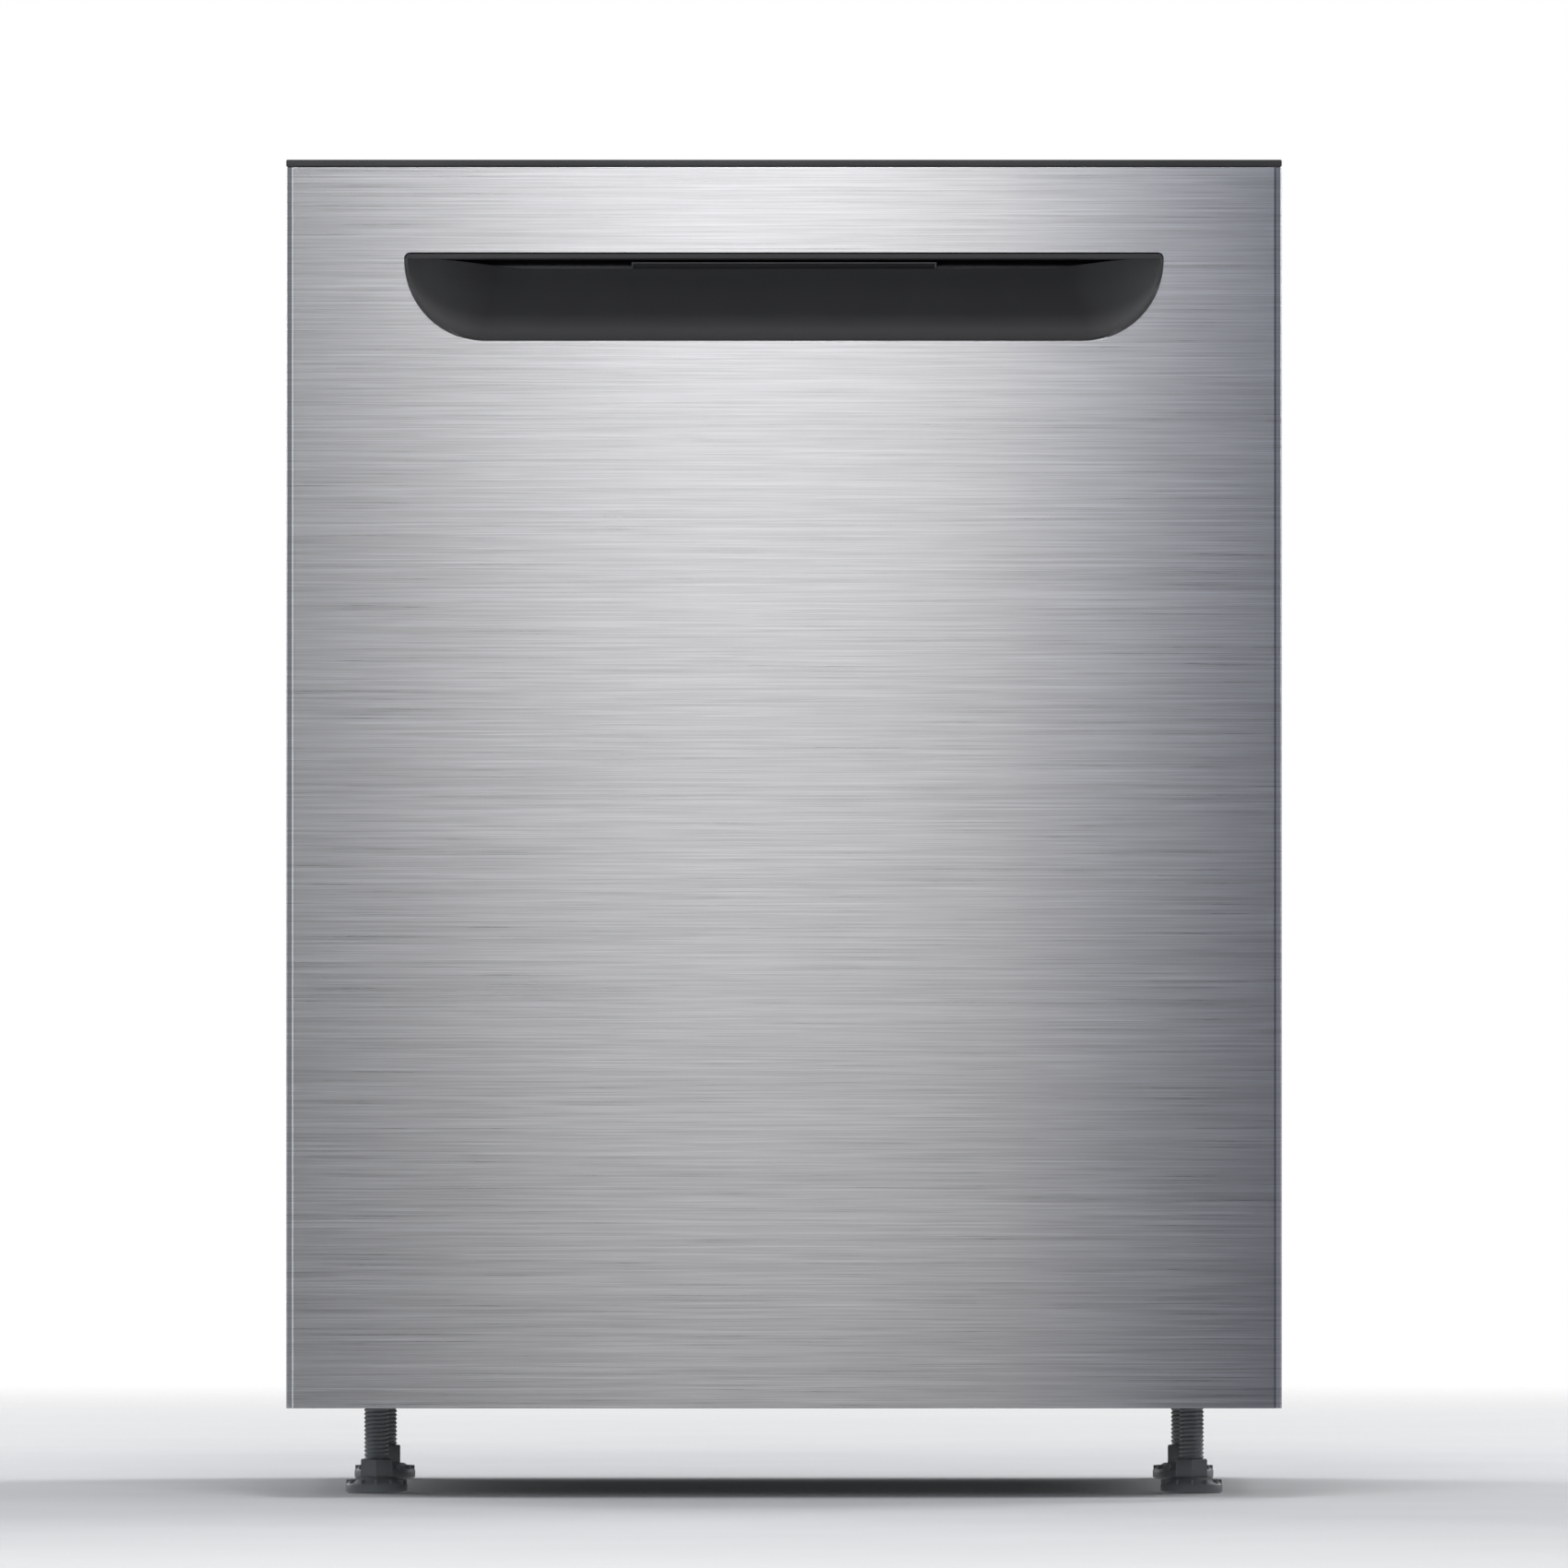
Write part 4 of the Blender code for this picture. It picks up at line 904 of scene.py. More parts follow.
def dispenser():
    """Detergent and rinse-aid unit with its cup, its embossed lines and the lid's catch."""
    (_, x_high), (y_low, y_high), (z_low, z_high) = limits("dispenser_body")
    face = y_high
    rings = []
    for inset, y in ((0.0, y_low), (0.0, face - 2.4), (0.5, face - 1.1), (1.6, face - 0.3), (3.0, face)):
        rings.append(panel_ring(x_high - inset, z_low + inset, z_high - inset, 9 - inset, y))
    shape = bmesh.new()
    loft(shape, rings, close_first=True)
    body = piece("dispenser_case", shape, "grey", DOOR, ["dispenser_body"], sharp=50)
    cup = bmesh.new()
    prism(cup, rounded(35, 465, 530, 8, 8, 6, -50), from_front(face - 24), 30)
    drum(cup, (74, face, 500), "Y", 19.5, 10, sides=48, round_by=0)
    cut_with(body, cup)
    trim = bmesh.new()
    block(trim, (-92, 92), (face - 0.2, face + 0.15), (456.4, 457.4), 0.1)
    block(trim, (-92, 92), (face - 0.2, face + 0.15), (538.0, 539.0), 0.1)
    for number in range(6):
        x = 22 + number * 5
        block(trim, (x, x + 1.6), around(face, 0.2), (470, 480), 0.1)
    piece("dispenser_trim", trim, "arm_grey", DOOR)
    catch = bmesh.new()
    block(catch, (-8.5, 9), (face - 1, face + 0.2), (505, 527), 0.3, 3)
    piece("lid_catch", catch, "blue", DOOR)


def dispenser_flap():
    """Sliding lid with a dished face and a thumb rib."""
    (left, right), (near, far), (low, high) = limits("dispenser_lid")
    plate_face = near + 2.2
    rings = []
    middle = (left + right) / 2
    for inset, y in ((0.2, near), (0.0, near + 0.4), (0.0, plate_face - 0.9), (0.3, plate_face - 0.3),
                     (1.0, plate_face), (4.5, plate_face), (5.2, plate_face - 0.5)):
        half = (right - left) / 2 - inset
        points = rounded(half, low + inset, high - inset, 6 - inset, 6 - inset, 6, middle)
        rings.append([(x, y, z) for x, z in points])
    lid = bmesh.new()
    loft(lid, rings, close_first=True)
    block(lid, (-18, -14.4), (plate_face - 0.4, far), (476, 519), 0.9, 3)
    piece("dispenser_flap", lid, "arm_grey", "dispenser_lid", ["dispenser_lid"], sharp=50)


def rinse_cap():
    """Round cap with a grip bar across it."""
    (left, right), (near, far), _ = limits("rinse_aid_cap")
    x, _, z = centre_of("rinse_aid_cap")
    radius = (right - left) / 2
    cap = bmesh.new()
    profile = [(0.0, 0.0), (radius - 0.6, 0.0), (radius, 0.8), (radius, 4.6), (radius - 1.0, 5.8),
               (radius - 3.0, 6.0), (radius - 4.2, 5.2), (0.0, 5.2)]
    lathe(cap, profile, (x, near, z), "Y", 56)
    block(cap, around(x, 14.2), (near + 4.8, far), around(z, 2.2), 0.9, 3)
    piece("rinse_cap", cap, "black", "rinse_aid_cap", ["rinse_aid_cap"], sharp=45)


# ---- base, legs and what is under the tub -------------------------------------------------------

TRAY_FRONT = -180


def base_tray():
    """Moulded tray with ribbed walls and leg sockets."""
    (_, x_high), (_, y_high), (z_low, z_high) = limits("base_pan")
    wall = 3
    outline = rounded(x_high, TRAY_FRONT, y_high, 10, 10, 6)
    shape = bmesh.new()
    prism(shape, outline, from_below(z_low), z_high - z_low)
    tray = piece("base_tray", shape, "black", ROOT, ["base_pan"])
    hollow = bmesh.new()
    inner = rounded(x_high - wall, TRAY_FRONT + wall, y_high - wall, 7, 7, 6)
    prism(hollow, inner, from_below(z_low + wall), z_high)
    for leg in LEG_NODES:
        x, y, _ = centre_of(leg)
        drum(hollow, (x, y, z_low), "Z", 8.3, 20, sides=32, round_by=0)
    cut_with(tray, hollow)
    round_edges(tray, 0.7)

    ribs = bmesh.new()
    upright = (z_low + 6, z_high - 8)
    for y in range(-150, 251, 50):
        block_pair(ribs, (x_high - 0.5, x_high + 1.8), around(y, 1.5), upright, 0.7)
    for x in range(-250, 251, 50):
        block(ribs, around(x, 1.5), (y_high - 0.5, y_high + 1.8), upright, 0.7)
    for band in ((z_high - 8, z_high - 4), (z_low + 3, z_low + 7)):
        block_pair(ribs, (x_high - 0.5, x_high + 2.2), (-170, 275), band)
        block(ribs, (-280, 280), (y_high - 0.5, y_high + 2.2), band)
    piece("base_ribs", ribs, "black", ROOT)

    sockets = bmesh.new()
    tube = [(8.3, 2), (8.3, 44), (12, 44), (16, 40), (17, 4), (17, 2)]
    for leg in LEG_NODES:
        x, y, _ = centre_of(leg)
        lathe(sockets, tube, (x, y, z_low), "Z", 40)
    piece("leg_sockets", sockets, "black", ROOT)


def hinge_ears():
    """Steel ears on the tray's front with the hinge pins."""
    z_high = limits("base_pan")[2][1]
    ears = bmesh.new()
    pivot_y = FRONT + 33
    pivot_z = 125
    for side in (-1, 1):
        inner_side = min(side * 288.6, side * 291.4)
        nose = arc((pivot_y, pivot_z), 9, 180, 300, 10)
        points = nose + [(pivot_y + 13, pivot_z + 7), (TRAY_FRONT + 2, pivot_z + 7),
                         (TRAY_FRONT + 2, z_high - 0.5), (pivot_y - 3, z_high - 0.5)]
        points += arc((pivot_y - 3, z_high - 6.5), 6, 90, 180, 6)
        prism(ears, points, from_left(inner_side), 2.8)
        drum(ears, (side * 286.4, pivot_y, pivot_z), "X", 5, 7.8, sides=32)
        drum(ears, (side * 282.8, pivot_y, pivot_z), "X", 6.6, 1.2, sides=32, round_by=0.4)
    piece("hinge_ears", ears, "zinc", ROOT, bevel=0.3)


LEG_NODES = ("leg_fl", "leg_fr", "leg_rl", "leg_rr")


def legs():
    """Levelling feet: ribbed foot, hexagon and a threaded stem."""
    for leg in LEG_NODES:
        (left, right), _, (_, high) = limits(leg)
        x, y, _ = centre_of(leg)
        radius = (right - left) / 2
        shape = bmesh.new()
        profile = [(0.0, 0.0), (radius - 1.2, 0.0), (radius, 1.2), (radius, 5.0), (radius - 1.0, 6.4),
                   (radius - 5.0, 8.6), (12, 9.8), (0.0, 9.8)]
        lathe(shape, profile, (x, y, 0.0), "Z", 48)
        spokes(shape, (x, y, 0), "Z", 12, (radius - 3.6, 0, 6.2), (6.4, 1.4, 4.4), round_by=0.4)
        drum(shape, (x, y, 15), "Z", 11, 12, sides=6, round_by=0.8)
        piece("foot_" + leg[4:], shape, "grey", leg, [leg], sharp=40)
        stem = bmesh.new()
        threaded(stem, (x, y, (21 + high) / 2), "Z", 7.7, 1.0, 2.5, high - 21)
        piece("stem_" + leg[4:], stem, "grey", leg, sharp=60)


def toe_plate():
    """Access panel with louvres, a folded lip and two screws."""
    (x_low, x_high), (y_low, y_high), (z_low, z_high) = limits("toe_panel")
    shape = bmesh.new()
    block(shape, (x_low, x_high), (y_low + 0.9, y_high), (z_low, z_high), 0.5)
    plate = piece("toe_plate", shape, "black", ROOT, ["toe_panel"])
    slots = bmesh.new()
    for row in range(3):
        low = 85 + row * 10
        for column in range(5):
            left = (-59 + column * 24)
            block(slots, (left, left + 20), (y_low - 5, y_high + 5), (low, low + 4), 0)
    cut_with(plate, slots)
    extras = bmesh.new()
    block(extras, (x_low + 2, x_high - 2), (y_low, y_low + 1.4), (z_high - 7, z_high - 3), 0.5)
    block(extras, (x_low + 2, x_high - 2), (y_low, y_low + 1.4), (z_low + 3, z_low + 7), 0.5)
    piece("toe_ridges", extras, "black", ROOT)
    heads = bmesh.new()
    for side in (-1, 1):
        screw_head(heads, (side * 240, y_low + 0.9, 95), "-Y", 3.6)
    piece("toe_screws", heads, "screw_steel", ROOT)


SUMP_Y = -80


def sump_bowl():
    """Ribbed bowl under the tub's hole."""
    bowl = [(0.0, 91), (42, 91), (60, 150), (57, 150), (39.5, 95), (0.0, 95)]
    shape = bmesh.new()
    lathe(shape, bowl, (0, SUMP_Y, 0), "Z", 56)
    spokes(shape, (0, SUMP_Y, 118), "Z", 8, (49.5, 0, 0), (5, 2, 34), start=0.5)
    piece("sump_bowl", shape, "grey", ROOT, ["sump"], sharp=40)


def circulation_pump():
    """Motor with cooling fins, and its outlet."""
    x_low, x_high = limits("circulation_pump")[0]
    axis = ((x_low + x_high) / 2, 60, 98)
    half = (x_high - x_low) / 2
    motor = [(0.0, -half), (36, -half), (38, -half + 2), (38, -half + 20), (34, -half + 23)]
    for number in range(9):
        start = -half + 27 + number * 8
        motor += [(33, start), (33, start + 5), (31, start + 5.6), (31, start + 7.4)]
    motor += [(33, half - 6), (28, half), (0.0, half)]
    shape = bmesh.new()
    lathe(shape, motor, axis, "X", 48)
    drum(shape, (76, 60, 130), "Z", 10, 16)
    drum(shape, (76, 60, 134), "Z", 11.6, 3)
    piece("circulation_motor", shape, "grey", ROOT, ["circulation_pump"], sharp=40)


def drain_pump():
    """Small ribbed motor."""
    y_low, y_high = limits("drain_pump")[1]
    middle = centre_of("drain_pump")
    half = (y_high - y_low) / 2
    body = [(0.0, -half), (28, -half), (28, -half + 16), (24, -half + 18), (24, half - 14),
            (19, half - 12), (19, half), (0.0, half)]
    shape = bmesh.new()
    lathe(shape, body, middle, "Y", 40)
    spokes(shape, middle, "Y", 10, (21.5, 37, 0), (4, 11, 1.6))
    piece("drain_motor", shape, "black", ROOT, ["drain_pump"], slot="grey_plastic", sharp=40)


def wiring_box():
    """Zinc box with a screwed lid."""
    paint("zinc", "junction_box")
    soften("junction_box", width=0.8)
    (x_low, x_high), (y_low, y_high), (_, z_high) = limits("junction_box")
    shape = bmesh.new()
    block(shape, (x_low - 0.8, x_high + 0.8), (y_low - 0.8, y_high + 0.8), (z_high - 6, z_high + 1.2), 0.5)
    screw_head(shape, (x_low + 12, y_low + 32, z_high + 1.2), "+Z", 3.4)
    screw_head(shape, (x_high - 12, y_low + 32, z_high + 1.2), "+Z", 3.4)
    piece("junction_lid", shape, "zinc", ROOT)


def water_inlet():
    """Flange with a hexagon, a thread and a sieve inside."""
    (x_low, x_high), (y_low, y_high), (z_low, z_high) = limits("inlet_valve")
    x, _, z = centre_of("inlet_valve")
    shape = bmesh.new()
    prism(shape, rounded((x_high - x_low) / 2, z_low, z_high, 4, 4, 5, x), from_front(y_low), 3.4)
    drum(shape, (x, y_low + 4, z), "Y", 16, 2, sides=6, round_by=0.5)
    screw_head(shape, (x - 15, y_low + 3.4, z + 15), "+Y", 2.8)
    screw_head(shape, (x + 15, y_low + 3.4, z - 15), "+Y", 2.8)
    piece("inlet_flange", shape, "pale", ROOT, ["inlet_valve"], bevel=0.4)
    thread = bmesh.new()
    length = y_high - y_low - 5
    threaded(thread, (x, y_high - length / 2, z), "Y", 13.2, 0.8, 1.8, length, 40)
    thread = piece("inlet_thread", thread, "pale", ROOT, sharp=60)
    bore = bmesh.new()
    drum(bore, (x, y_high, z), "Y", 8, 2 * (y_high - y_low - 4), sides=36, round_by=0)
    cut_with(thread, bore)
    screen = bmesh.new()
    drum(screen, (x, y_low + 6.6, z), "Y", 8.2, 0.8, sides=36, round_by=0.2)
    piece("inlet_screen", screen, "sieve", ROOT)


def drain_outlet():
    """Flange with a barbed spigot for the hose."""
    (x_low, x_high), (y_low, y_high), (z_low, z_high) = limits("drain_spigot")
    x, _, z = centre_of("drain_spigot")
    shape = bmesh.new()
    prism(shape, rounded((x_high - x_low) / 2, z_low, z_high, 8, 8, 6, x), from_front(y_low), 3.2)
    start = 3.0
    length = y_high - y_low
    barb = [(8, start), (8, length), (9.4, length)]
    for number in range(3):
        top = length - number * 3.8
        barb += [(11, top - 3.0), (9.6, top - 3.4)]
    barb += [(9.6, start)]
    lathe(shape, barb, (x, y_low, z), "Y", 48)
    screw_head(shape, (x - 14, y_low + 3.2, z + 14), "+Y", 2.8)
    screw_head(shape, (x + 14, y_low + 3.2, z - 14), "+Y", 2.8)
    piece("drain_barb", shape, "grey", ROOT, ["drain_spigot"])


# ---- tub ----------------------------------------------------------------------------------------

TUB_HALF = 291.0
TUB_FLOOR = 152.0
TUB_ROOF = 790.0
TUB_BACK = 262.0
TUB_FRONT = limits("tub_shell")[1][0]


def tub_ring(y, inset=0.0):
    """Section of the tub at a depth, drawn in by an inset."""
    points = rounded(TUB_HALF - inset, TUB_FLOOR + inset, TUB_ROOF - inset, 9, 22, 8)
    return [(x, y, z) for x, z in points]


def steel_tub():
    """Deep-drawn tub with three ribs round it, wheel tracks and the hole over the sump."""
    rings = [tub_ring(TUB_FRONT)]
    for middle in (-120, 10, 140):
        rings += [tub_ring(middle - 9), tub_ring(middle - 6, 1.1), tub_ring(middle + 6, 1.1),
                  tub_ring(middle + 9)]
    corner = 8
    for turn in (0, 15, 30, 45, 60, 75, 90):
        angle = math.radians(turn)
        rings.append(tub_ring(TUB_BACK - corner + corner * math.sin(angle), corner * (1 - math.cos(angle))))
    rings += [tub_ring(TUB_BACK, 40), tub_ring(TUB_BACK - 1.6, 43)]
    shape = bmesh.new()
    loft(shape, rings)
    tub = piece("wash_tub", shape, "tub_steel", ROOT, ["tub_shell"], sharp=60)
    thicken(tub, 1.2)
    hole = bmesh.new()
    drum(hole, (0.0, SUMP_Y, TUB_FLOOR), "Z", 52, 20, sides=56, round_by=0)
    cut_with(tub, hole)
    tracks = bmesh.new()
    block_pair(tracks, (263, 291.5), (-240, 250), (TUB_FLOOR - 0.5, 161.7), 2.4, 4)
    piece("tub_tracks", tracks, "tub_steel", ROOT)


def tub_front():
    """Frame around the opening, with its screws."""
    (_, x_high), (y_low, y_high), (z_low, z_high) = limits("tub_collar")
    shape = bmesh.new()
    prism(shape, rounded(x_high, z_low, z_high, 4, 7, 6), from_front(y_low), y_high - y_low)
    collar = piece("tub_frame", shape, "frame_steel", ROOT, ["tub_collar"])
    opening = bmesh.new()
    prism(opening, rounded(279, 160, 785, 7, 20, 8), from_front(y_low - 5), 20)
    cut_with(collar, opening)
    round_edges(collar, 1.0, 3)
    heads = bmesh.new()
    for side in (-1, 1):
        for z in (300, 480, 660):
            screw_head(heads, (side * 295.4, y_low, z), "-Y", 2.6)
    piece("frame_screws", heads, "screw_steel", ROOT)


def door_seal():
    """Bulb seal up both sides and over the top of the frame."""
    (_, x_high), (y_low, y_high), (z_low, z_high) = limits("tub_gasket")
    middle_y = centre_of("tub_gasket")[1]
    half_y = (y_high - y_low) / 2
    section = [(-5.0, 1.0), (-4.2, 0.55), (-2.2, 0.5), (-1.2, -0.2), (0.6, -1.0), (2.8, -1.0), (4.4, -0.3),
               (5.0, 0.4), (4.4, 1.0)]
    line = [(x_high - 5, z_low)]
    line += arc((x_high - 19, z_high - 19), 14, 0, 90, 12)
    line += mirrored(line)
    rings = []
    for index, (x, z) in enumerate(line):
        before = line[max(index - 1, 0)]
        after = line[min(index + 1, len(line) - 1)]
        along = Vector((after[0] - before[0], after[1] - before[1])).normalized()
        out = Vector((along.y, -along.x))
        rings.append([(x + out.x * a, middle_y + b * half_y, z + out.y * a) for a, b in section])
    shape = bmesh.new()
    loft(shape, rings, close_first=True)
    piece("door_seal", shape, "rubber", ROOT, ["tub_gasket"], sharp=70)


def brackets():
    """Zinc sheet pieces that keep their CAD shape."""
    paint("zinc", "counter_bracket_left", "counter_bracket_right", "latch_strike")
    soften("counter_bracket_left", "counter_bracket_right", width=0.6)
    soften("latch_strike", width=0.8)


def blanket():
    """Felt wrapped over the tub, a back mat, foil tape along the seams and push-in clips."""
    (x_low, x_high), (y_low, y_high), (z_low, z_high) = limits("sound_blanket")
    thick = 4.6
    outer = [(x_high, z_low)] + arc((x_high - 14, z_high - 14), 14, 0, 90, 8)
    outer += mirrored(outer)
    inner = [(x_high - thick, z_low)] + arc((x_high - 14, z_high - 14), 14 - thick, 0, 90, 8)
    inner += mirrored(inner)
    plan = outer + list(reversed(inner))
    shape = bmesh.new()
    rings = []
    for y, draw in ((y_low, 1.0), (y_low + 0.6, 0.4), (y_low + 1.6, 0.0),
                    (y_high - 7, 0.0), (y_high - 5.6, 0.4), (y_high - 5, 1.0)):
        ring = []
        for index, (x, z) in enumerate(plan):
            pull = draw * 0.8 if index < len(outer) else 0.0
            ring.append((x - math.copysign(pull, x), y, z - pull if z > z_high - 15 else z))
        rings.append(ring)
    loft(shape, rings, close_first=True)
    piece("felt_wrap", shape, "felt", ROOT, ["sound_blanket"], sharp=50)
    back = bmesh.new()
    block(back, (x_low + 4, x_high - 4), (y_high - 5, y_high - 0.2), (z_low + 1, z_high - 3), 1.4, 3)
    piece("felt_back", back, "bitumen", ROOT)
    tape = bmesh.new()
    upright = (z_low + 20, z_high - 22)
    block_pair(tape, (x_high - 30, x_high - 6), (y_high - 0.4, y_high + 0.1), upright, 0.15)
    block_pair(tape, (x_high - 0.3, x_high + 0.2), (y_high - 46, y_high - 16), upright, 0.15)
    block(tape, (x_low + 30, x_high - 30), (y_high - 46, y_high - 16), (z_high - 0.3, z_high + 0.2), 0.15)
    piece("foil_tape", tape, "foil", ROOT)
    clips = bmesh.new()
    for radius, length, sides, out in ((13, 1.0, 32, 0.0), (4, 1.2, 20, 0.6)):
        for side, y, z in product((-1, 1), (-200, 20), (230, 430, 630)):
            drum(clips, (side * (x_high + 0.2 + out), y, z), "X", radius, length, sides=sides, round_by=0.4)
        for x, z in product((-200, 0, 200), (260, 500, 720)):
            drum(clips, (x, y_high + 0.1 + out, z), "Y", radius, length, sides=sides, round_by=0.4)
    piece("felt_clips", clips, "black", ROOT)


# ---- wash system --------------------------------------------------------------------------------

ARM_Y = 20
JET = [(0.0, -1.5), (3.4, -1.5), (3.2, 0.5), (2.4, 0.9), (1.4, 0.7), (1.2, -0.8), (0.0, -0.8)]


def spray_arm(node, name, half, low, thick, hub_low, hub_high, jets):
    """Hollow-looking arm: two tapering blades that swell at the hub, jets on alternate edges."""
    rings = []
    for step in range(33):
        share = -1 + 2 * step / 32
        x = half * math.sin(share * math.pi / 2)
        reach = abs(x) / half
        wide = 23.5 - 9.5 * reach
        tall = thick / 2 * (1.0 - 0.25 * reach)
        if reach > 0.93:
            end = math.sqrt(max(1 - ((reach - 0.93) / 0.07) ** 2, 0.0))
            wide *= 0.35 + 0.65 * end
            tall *= 0.5 + 0.5 * end
        middle = low + thick / 2
        ring = []
        for turn in range(20):
            angle = math.tau * turn / 20
            across = math.copysign(abs(math.cos(angle)) ** 0.7, math.cos(angle)) * wide
            up = math.copysign(abs(math.sin(angle)) ** 0.55, math.sin(angle)) * tall
            ring.append((x, ARM_Y + across, middle + up))
        rings.append(ring)
    shape = bmesh.new()
    loft(shape, rings, close_first=True)
    span_z = hub_high - hub_low
    profile = [(0.0, 0.0), (14.5, 0.0), (15.8, 1.2), (15.8, span_z - 2), (13, span_z), (0.0, span_z)]
    lathe(shape, profile, (0.0, ARM_Y, hub_low), "Z", 40)
    piece(name, shape, "arm_grey", node, [node], sharp=50)
    nozzles = bmesh.new()
    for number in range(jets):
        reach = (0.22 + 0.70 * number / (jets - 1)) * half
        for side in (-1, 1):
            edge = side * (7 if number % 2 else -5) * (1 - 0.4 * reach / half)
            place = (side * reach, ARM_Y + edge, low + thick * 0.93)
            lathe(nozzles, JET, place, "Z", 20)
    piece(name + "_jets", nozzles, "grey", node)


def spray_arms():
    """The arm under the lower rack, the one under the upper rack and the one at the ceiling."""
    spray_arm("lower_spray_arm", "arm_lower", 219.6, 180.2, 9.6, 157.2, 189.8, 6)
    spray_arm("upper_spray_arm", "arm_upper", 194.6, 475.2, 7.6, 475.4, 483.3, 6)
    spray_arm("ceiling_spray_arm", "arm_ceiling", 109.6, 757.2, 6.6, 757.4, 768.3, 3)


def floor_sieve():
    """Perforated plate in the tub's floor, its wire edge and the collar round the filter."""
    shape = bmesh.new()
    outline = rounded(150, -150, 105, 40, 40, 12)
    prism(shape, outline, from_below(152.5), 1.6)
    sieve = piece("filter_sieve", shape, "sieve", ROOT, ["filter_plate"])
    hole = bmesh.new()
    drum(hole, (0.0, SUMP_Y, 152), "Z", 36.6, 20, sides=56, round_by=0)
    cut_with(sieve, hole)
    rim = bmesh.new()
    collar = [(36.6, -0.2), (36.6, 2.4), (38.2, 2.6), (41.5, 1.6), (41.5, -0.2)]
    lathe(rim, collar, (0.0, SUMP_Y, 152.6), "Z", 56)
    piece("sieve_rim", rim, "tub_steel", ROOT)
    edge_line = [(x, y, 153.6) for x, y in rounded(149, -149, 104, 39, 39, 12)]
    wires("sieve_edge", [(edge_line, True)], 1.1, "tub_steel", ROOT)


def filter_cup():
    """Filter cylinder: a cup with a grip across it and a fine sieve round it."""
    z_low, z_high = limits("filter_cylinder")[2]
    centre = (0, SUMP_Y, 0)
    shape = bmesh.new()
    cup = [(0.0, z_low), (31, z_low), (33.2, z_low + 2), (33.2, 145), (34.0, 147), (34.0, z_high - 1),
           (33.2, z_high), (32.0, z_high), (31.6, z_high - 1), (31.6, z_low + 4), (0.0, z_low + 4)]
    lathe(shape, cup, centre, "Z", 56)
    block(shape, (-32, 32), around(SUMP_Y, 2), (150, 163.4), 1.6, 3)
    piece("filter_cup", shape, "grey", "filter_cylinder", ["filter_cylinder"], sharp=40)
    mesh = bmesh.new()
    lathe(mesh, [(33.4, 120), (33.4, 143), (33.7, 143), (33.7, 120)], centre, "Z", 56)
    piece("filter_mesh", mesh, "sieve", "filter_cylinder")


HEATER_RADIUS = 205


def heater():
    """Heating ring on its feet."""
    ring = [(x, ARM_Y + y, 160.5) for x, y in circle(HEATER_RADIUS, 120)]
    wires("heater_loop", [(ring, True)], 3.6, "heater_steel", ROOT, ["heater_ring"], 6)
    feet = bmesh.new()
    drum(feet, (-HEATER_RADIUS, ARM_Y, 158.4), "Z", 5.8, 9.8, sides=6)
    for turn in (60, 120, 240, 300):
        angle = math.radians(turn)
        x, y = HEATER_RADIUS * math.cos(angle), ARM_Y + HEATER_RADIUS * math.sin(angle)
        block(feet, around(x, 3), around(y, 5), (TUB_FLOOR, 157), 0.8)
    piece("heater_feet", feet, "rail_steel", ROOT)


def feed_pipe():
    """Pipe up the back wall and along the ceiling, with its collars."""
    _, (y_low, y_high), (_, z_high) = limits("feed_tube")
    feed_y = y_high - 8.7
    top = z_high - 8.7
    path = bend([(0.0, feed_y, 156.5), (0.0, feed_y, top), (0.0, y_low + 1, top)], 30, 10)
    wires("feed_pipe", [(path, False)], 8.2, "grey", ROOT, ["feed_tube"], 8)
    collars = bmesh.new()
    for z in (158.5, 330, 560, 730):
        drum(collars, (0.0, feed_y, z), "Z", 10.2, 6, sides=40)
    drum(collars, (0.0, ARM_Y, 772.4), "Z", 9, 6.4, sides=40)
    piece("feed_collars", collars, "grey", ROOT)


def float_dome():
    """Plastic dome that rises with the water."""
    (x_low, x_high), _, (z_low, _) = limits("float_cap")
    x, y, _ = centre_of("float_cap")
    radius = (x_high - x_low) / 2
    dome = [(0.0, 0.0), (radius - 0.8, 0.0), (radius, 0.8), (radius - 0.6, 7), (radius - 2.4, 14)]
    dome += [(radius - 5.0, 19), (radius - 9, 21.6), (0.0, 21.9)]
    shape = bmesh.new()
    lathe(shape, dome, (x, y, z_low), "Z", 40)
    piece("float_dome", shape, "pale", "float_cap", ["float_cap"], sharp=50)


# ---- racks --------------------------------------------------------------------------------------

RIM_WIRE = 2.1
THIN_WIRE = 1.5
RACK_FRONT = -203
RACK_BACK = 238


def steps_between(low, high, count):
    """Evenly spaced values, both ends included."""
    return [low + (high - low) * number / (count - 1) for number in range(count)]


def basket(node, name, half, low, high, across, along, mid):
    """Round coated wires: two rims, and U-shaped wires both ways."""
    heavy = []
    for z in (high - 2, mid):
        loop = [(x, y, z) for x, y in rounded(half, RACK_FRONT, RACK_BACK, 16, 16, 6)]
        heavy.append((loop, True))
    thin = []
    for y in steps_between(RACK_FRONT + 26, RACK_BACK - 26, across):
        ends = (-half + 1.5, half - 1.5)
        line = [(ends[0], y, high - 2), (ends[0], y, low), (ends[1], y, low), (ends[1], y, high - 2)]
        thin.append((bend(line, 12), False))
    for x in steps_between(-half + 26, half - 26, along):
        ends = (RACK_FRONT + 1.5, RACK_BACK - 1.5)
        line = [(x, ends[0], high - 2), (x, ends[0], low + 3), (x, ends[1], low + 3), (x, ends[1], high - 2)]
        thin.append((bend(line, 12), False))
    wires(name + "_rims", heavy, RIM_WIRE, "coat", node, [node], 4)
    wires(name + "_wires", thin, THIN_WIRE, "coat", node)


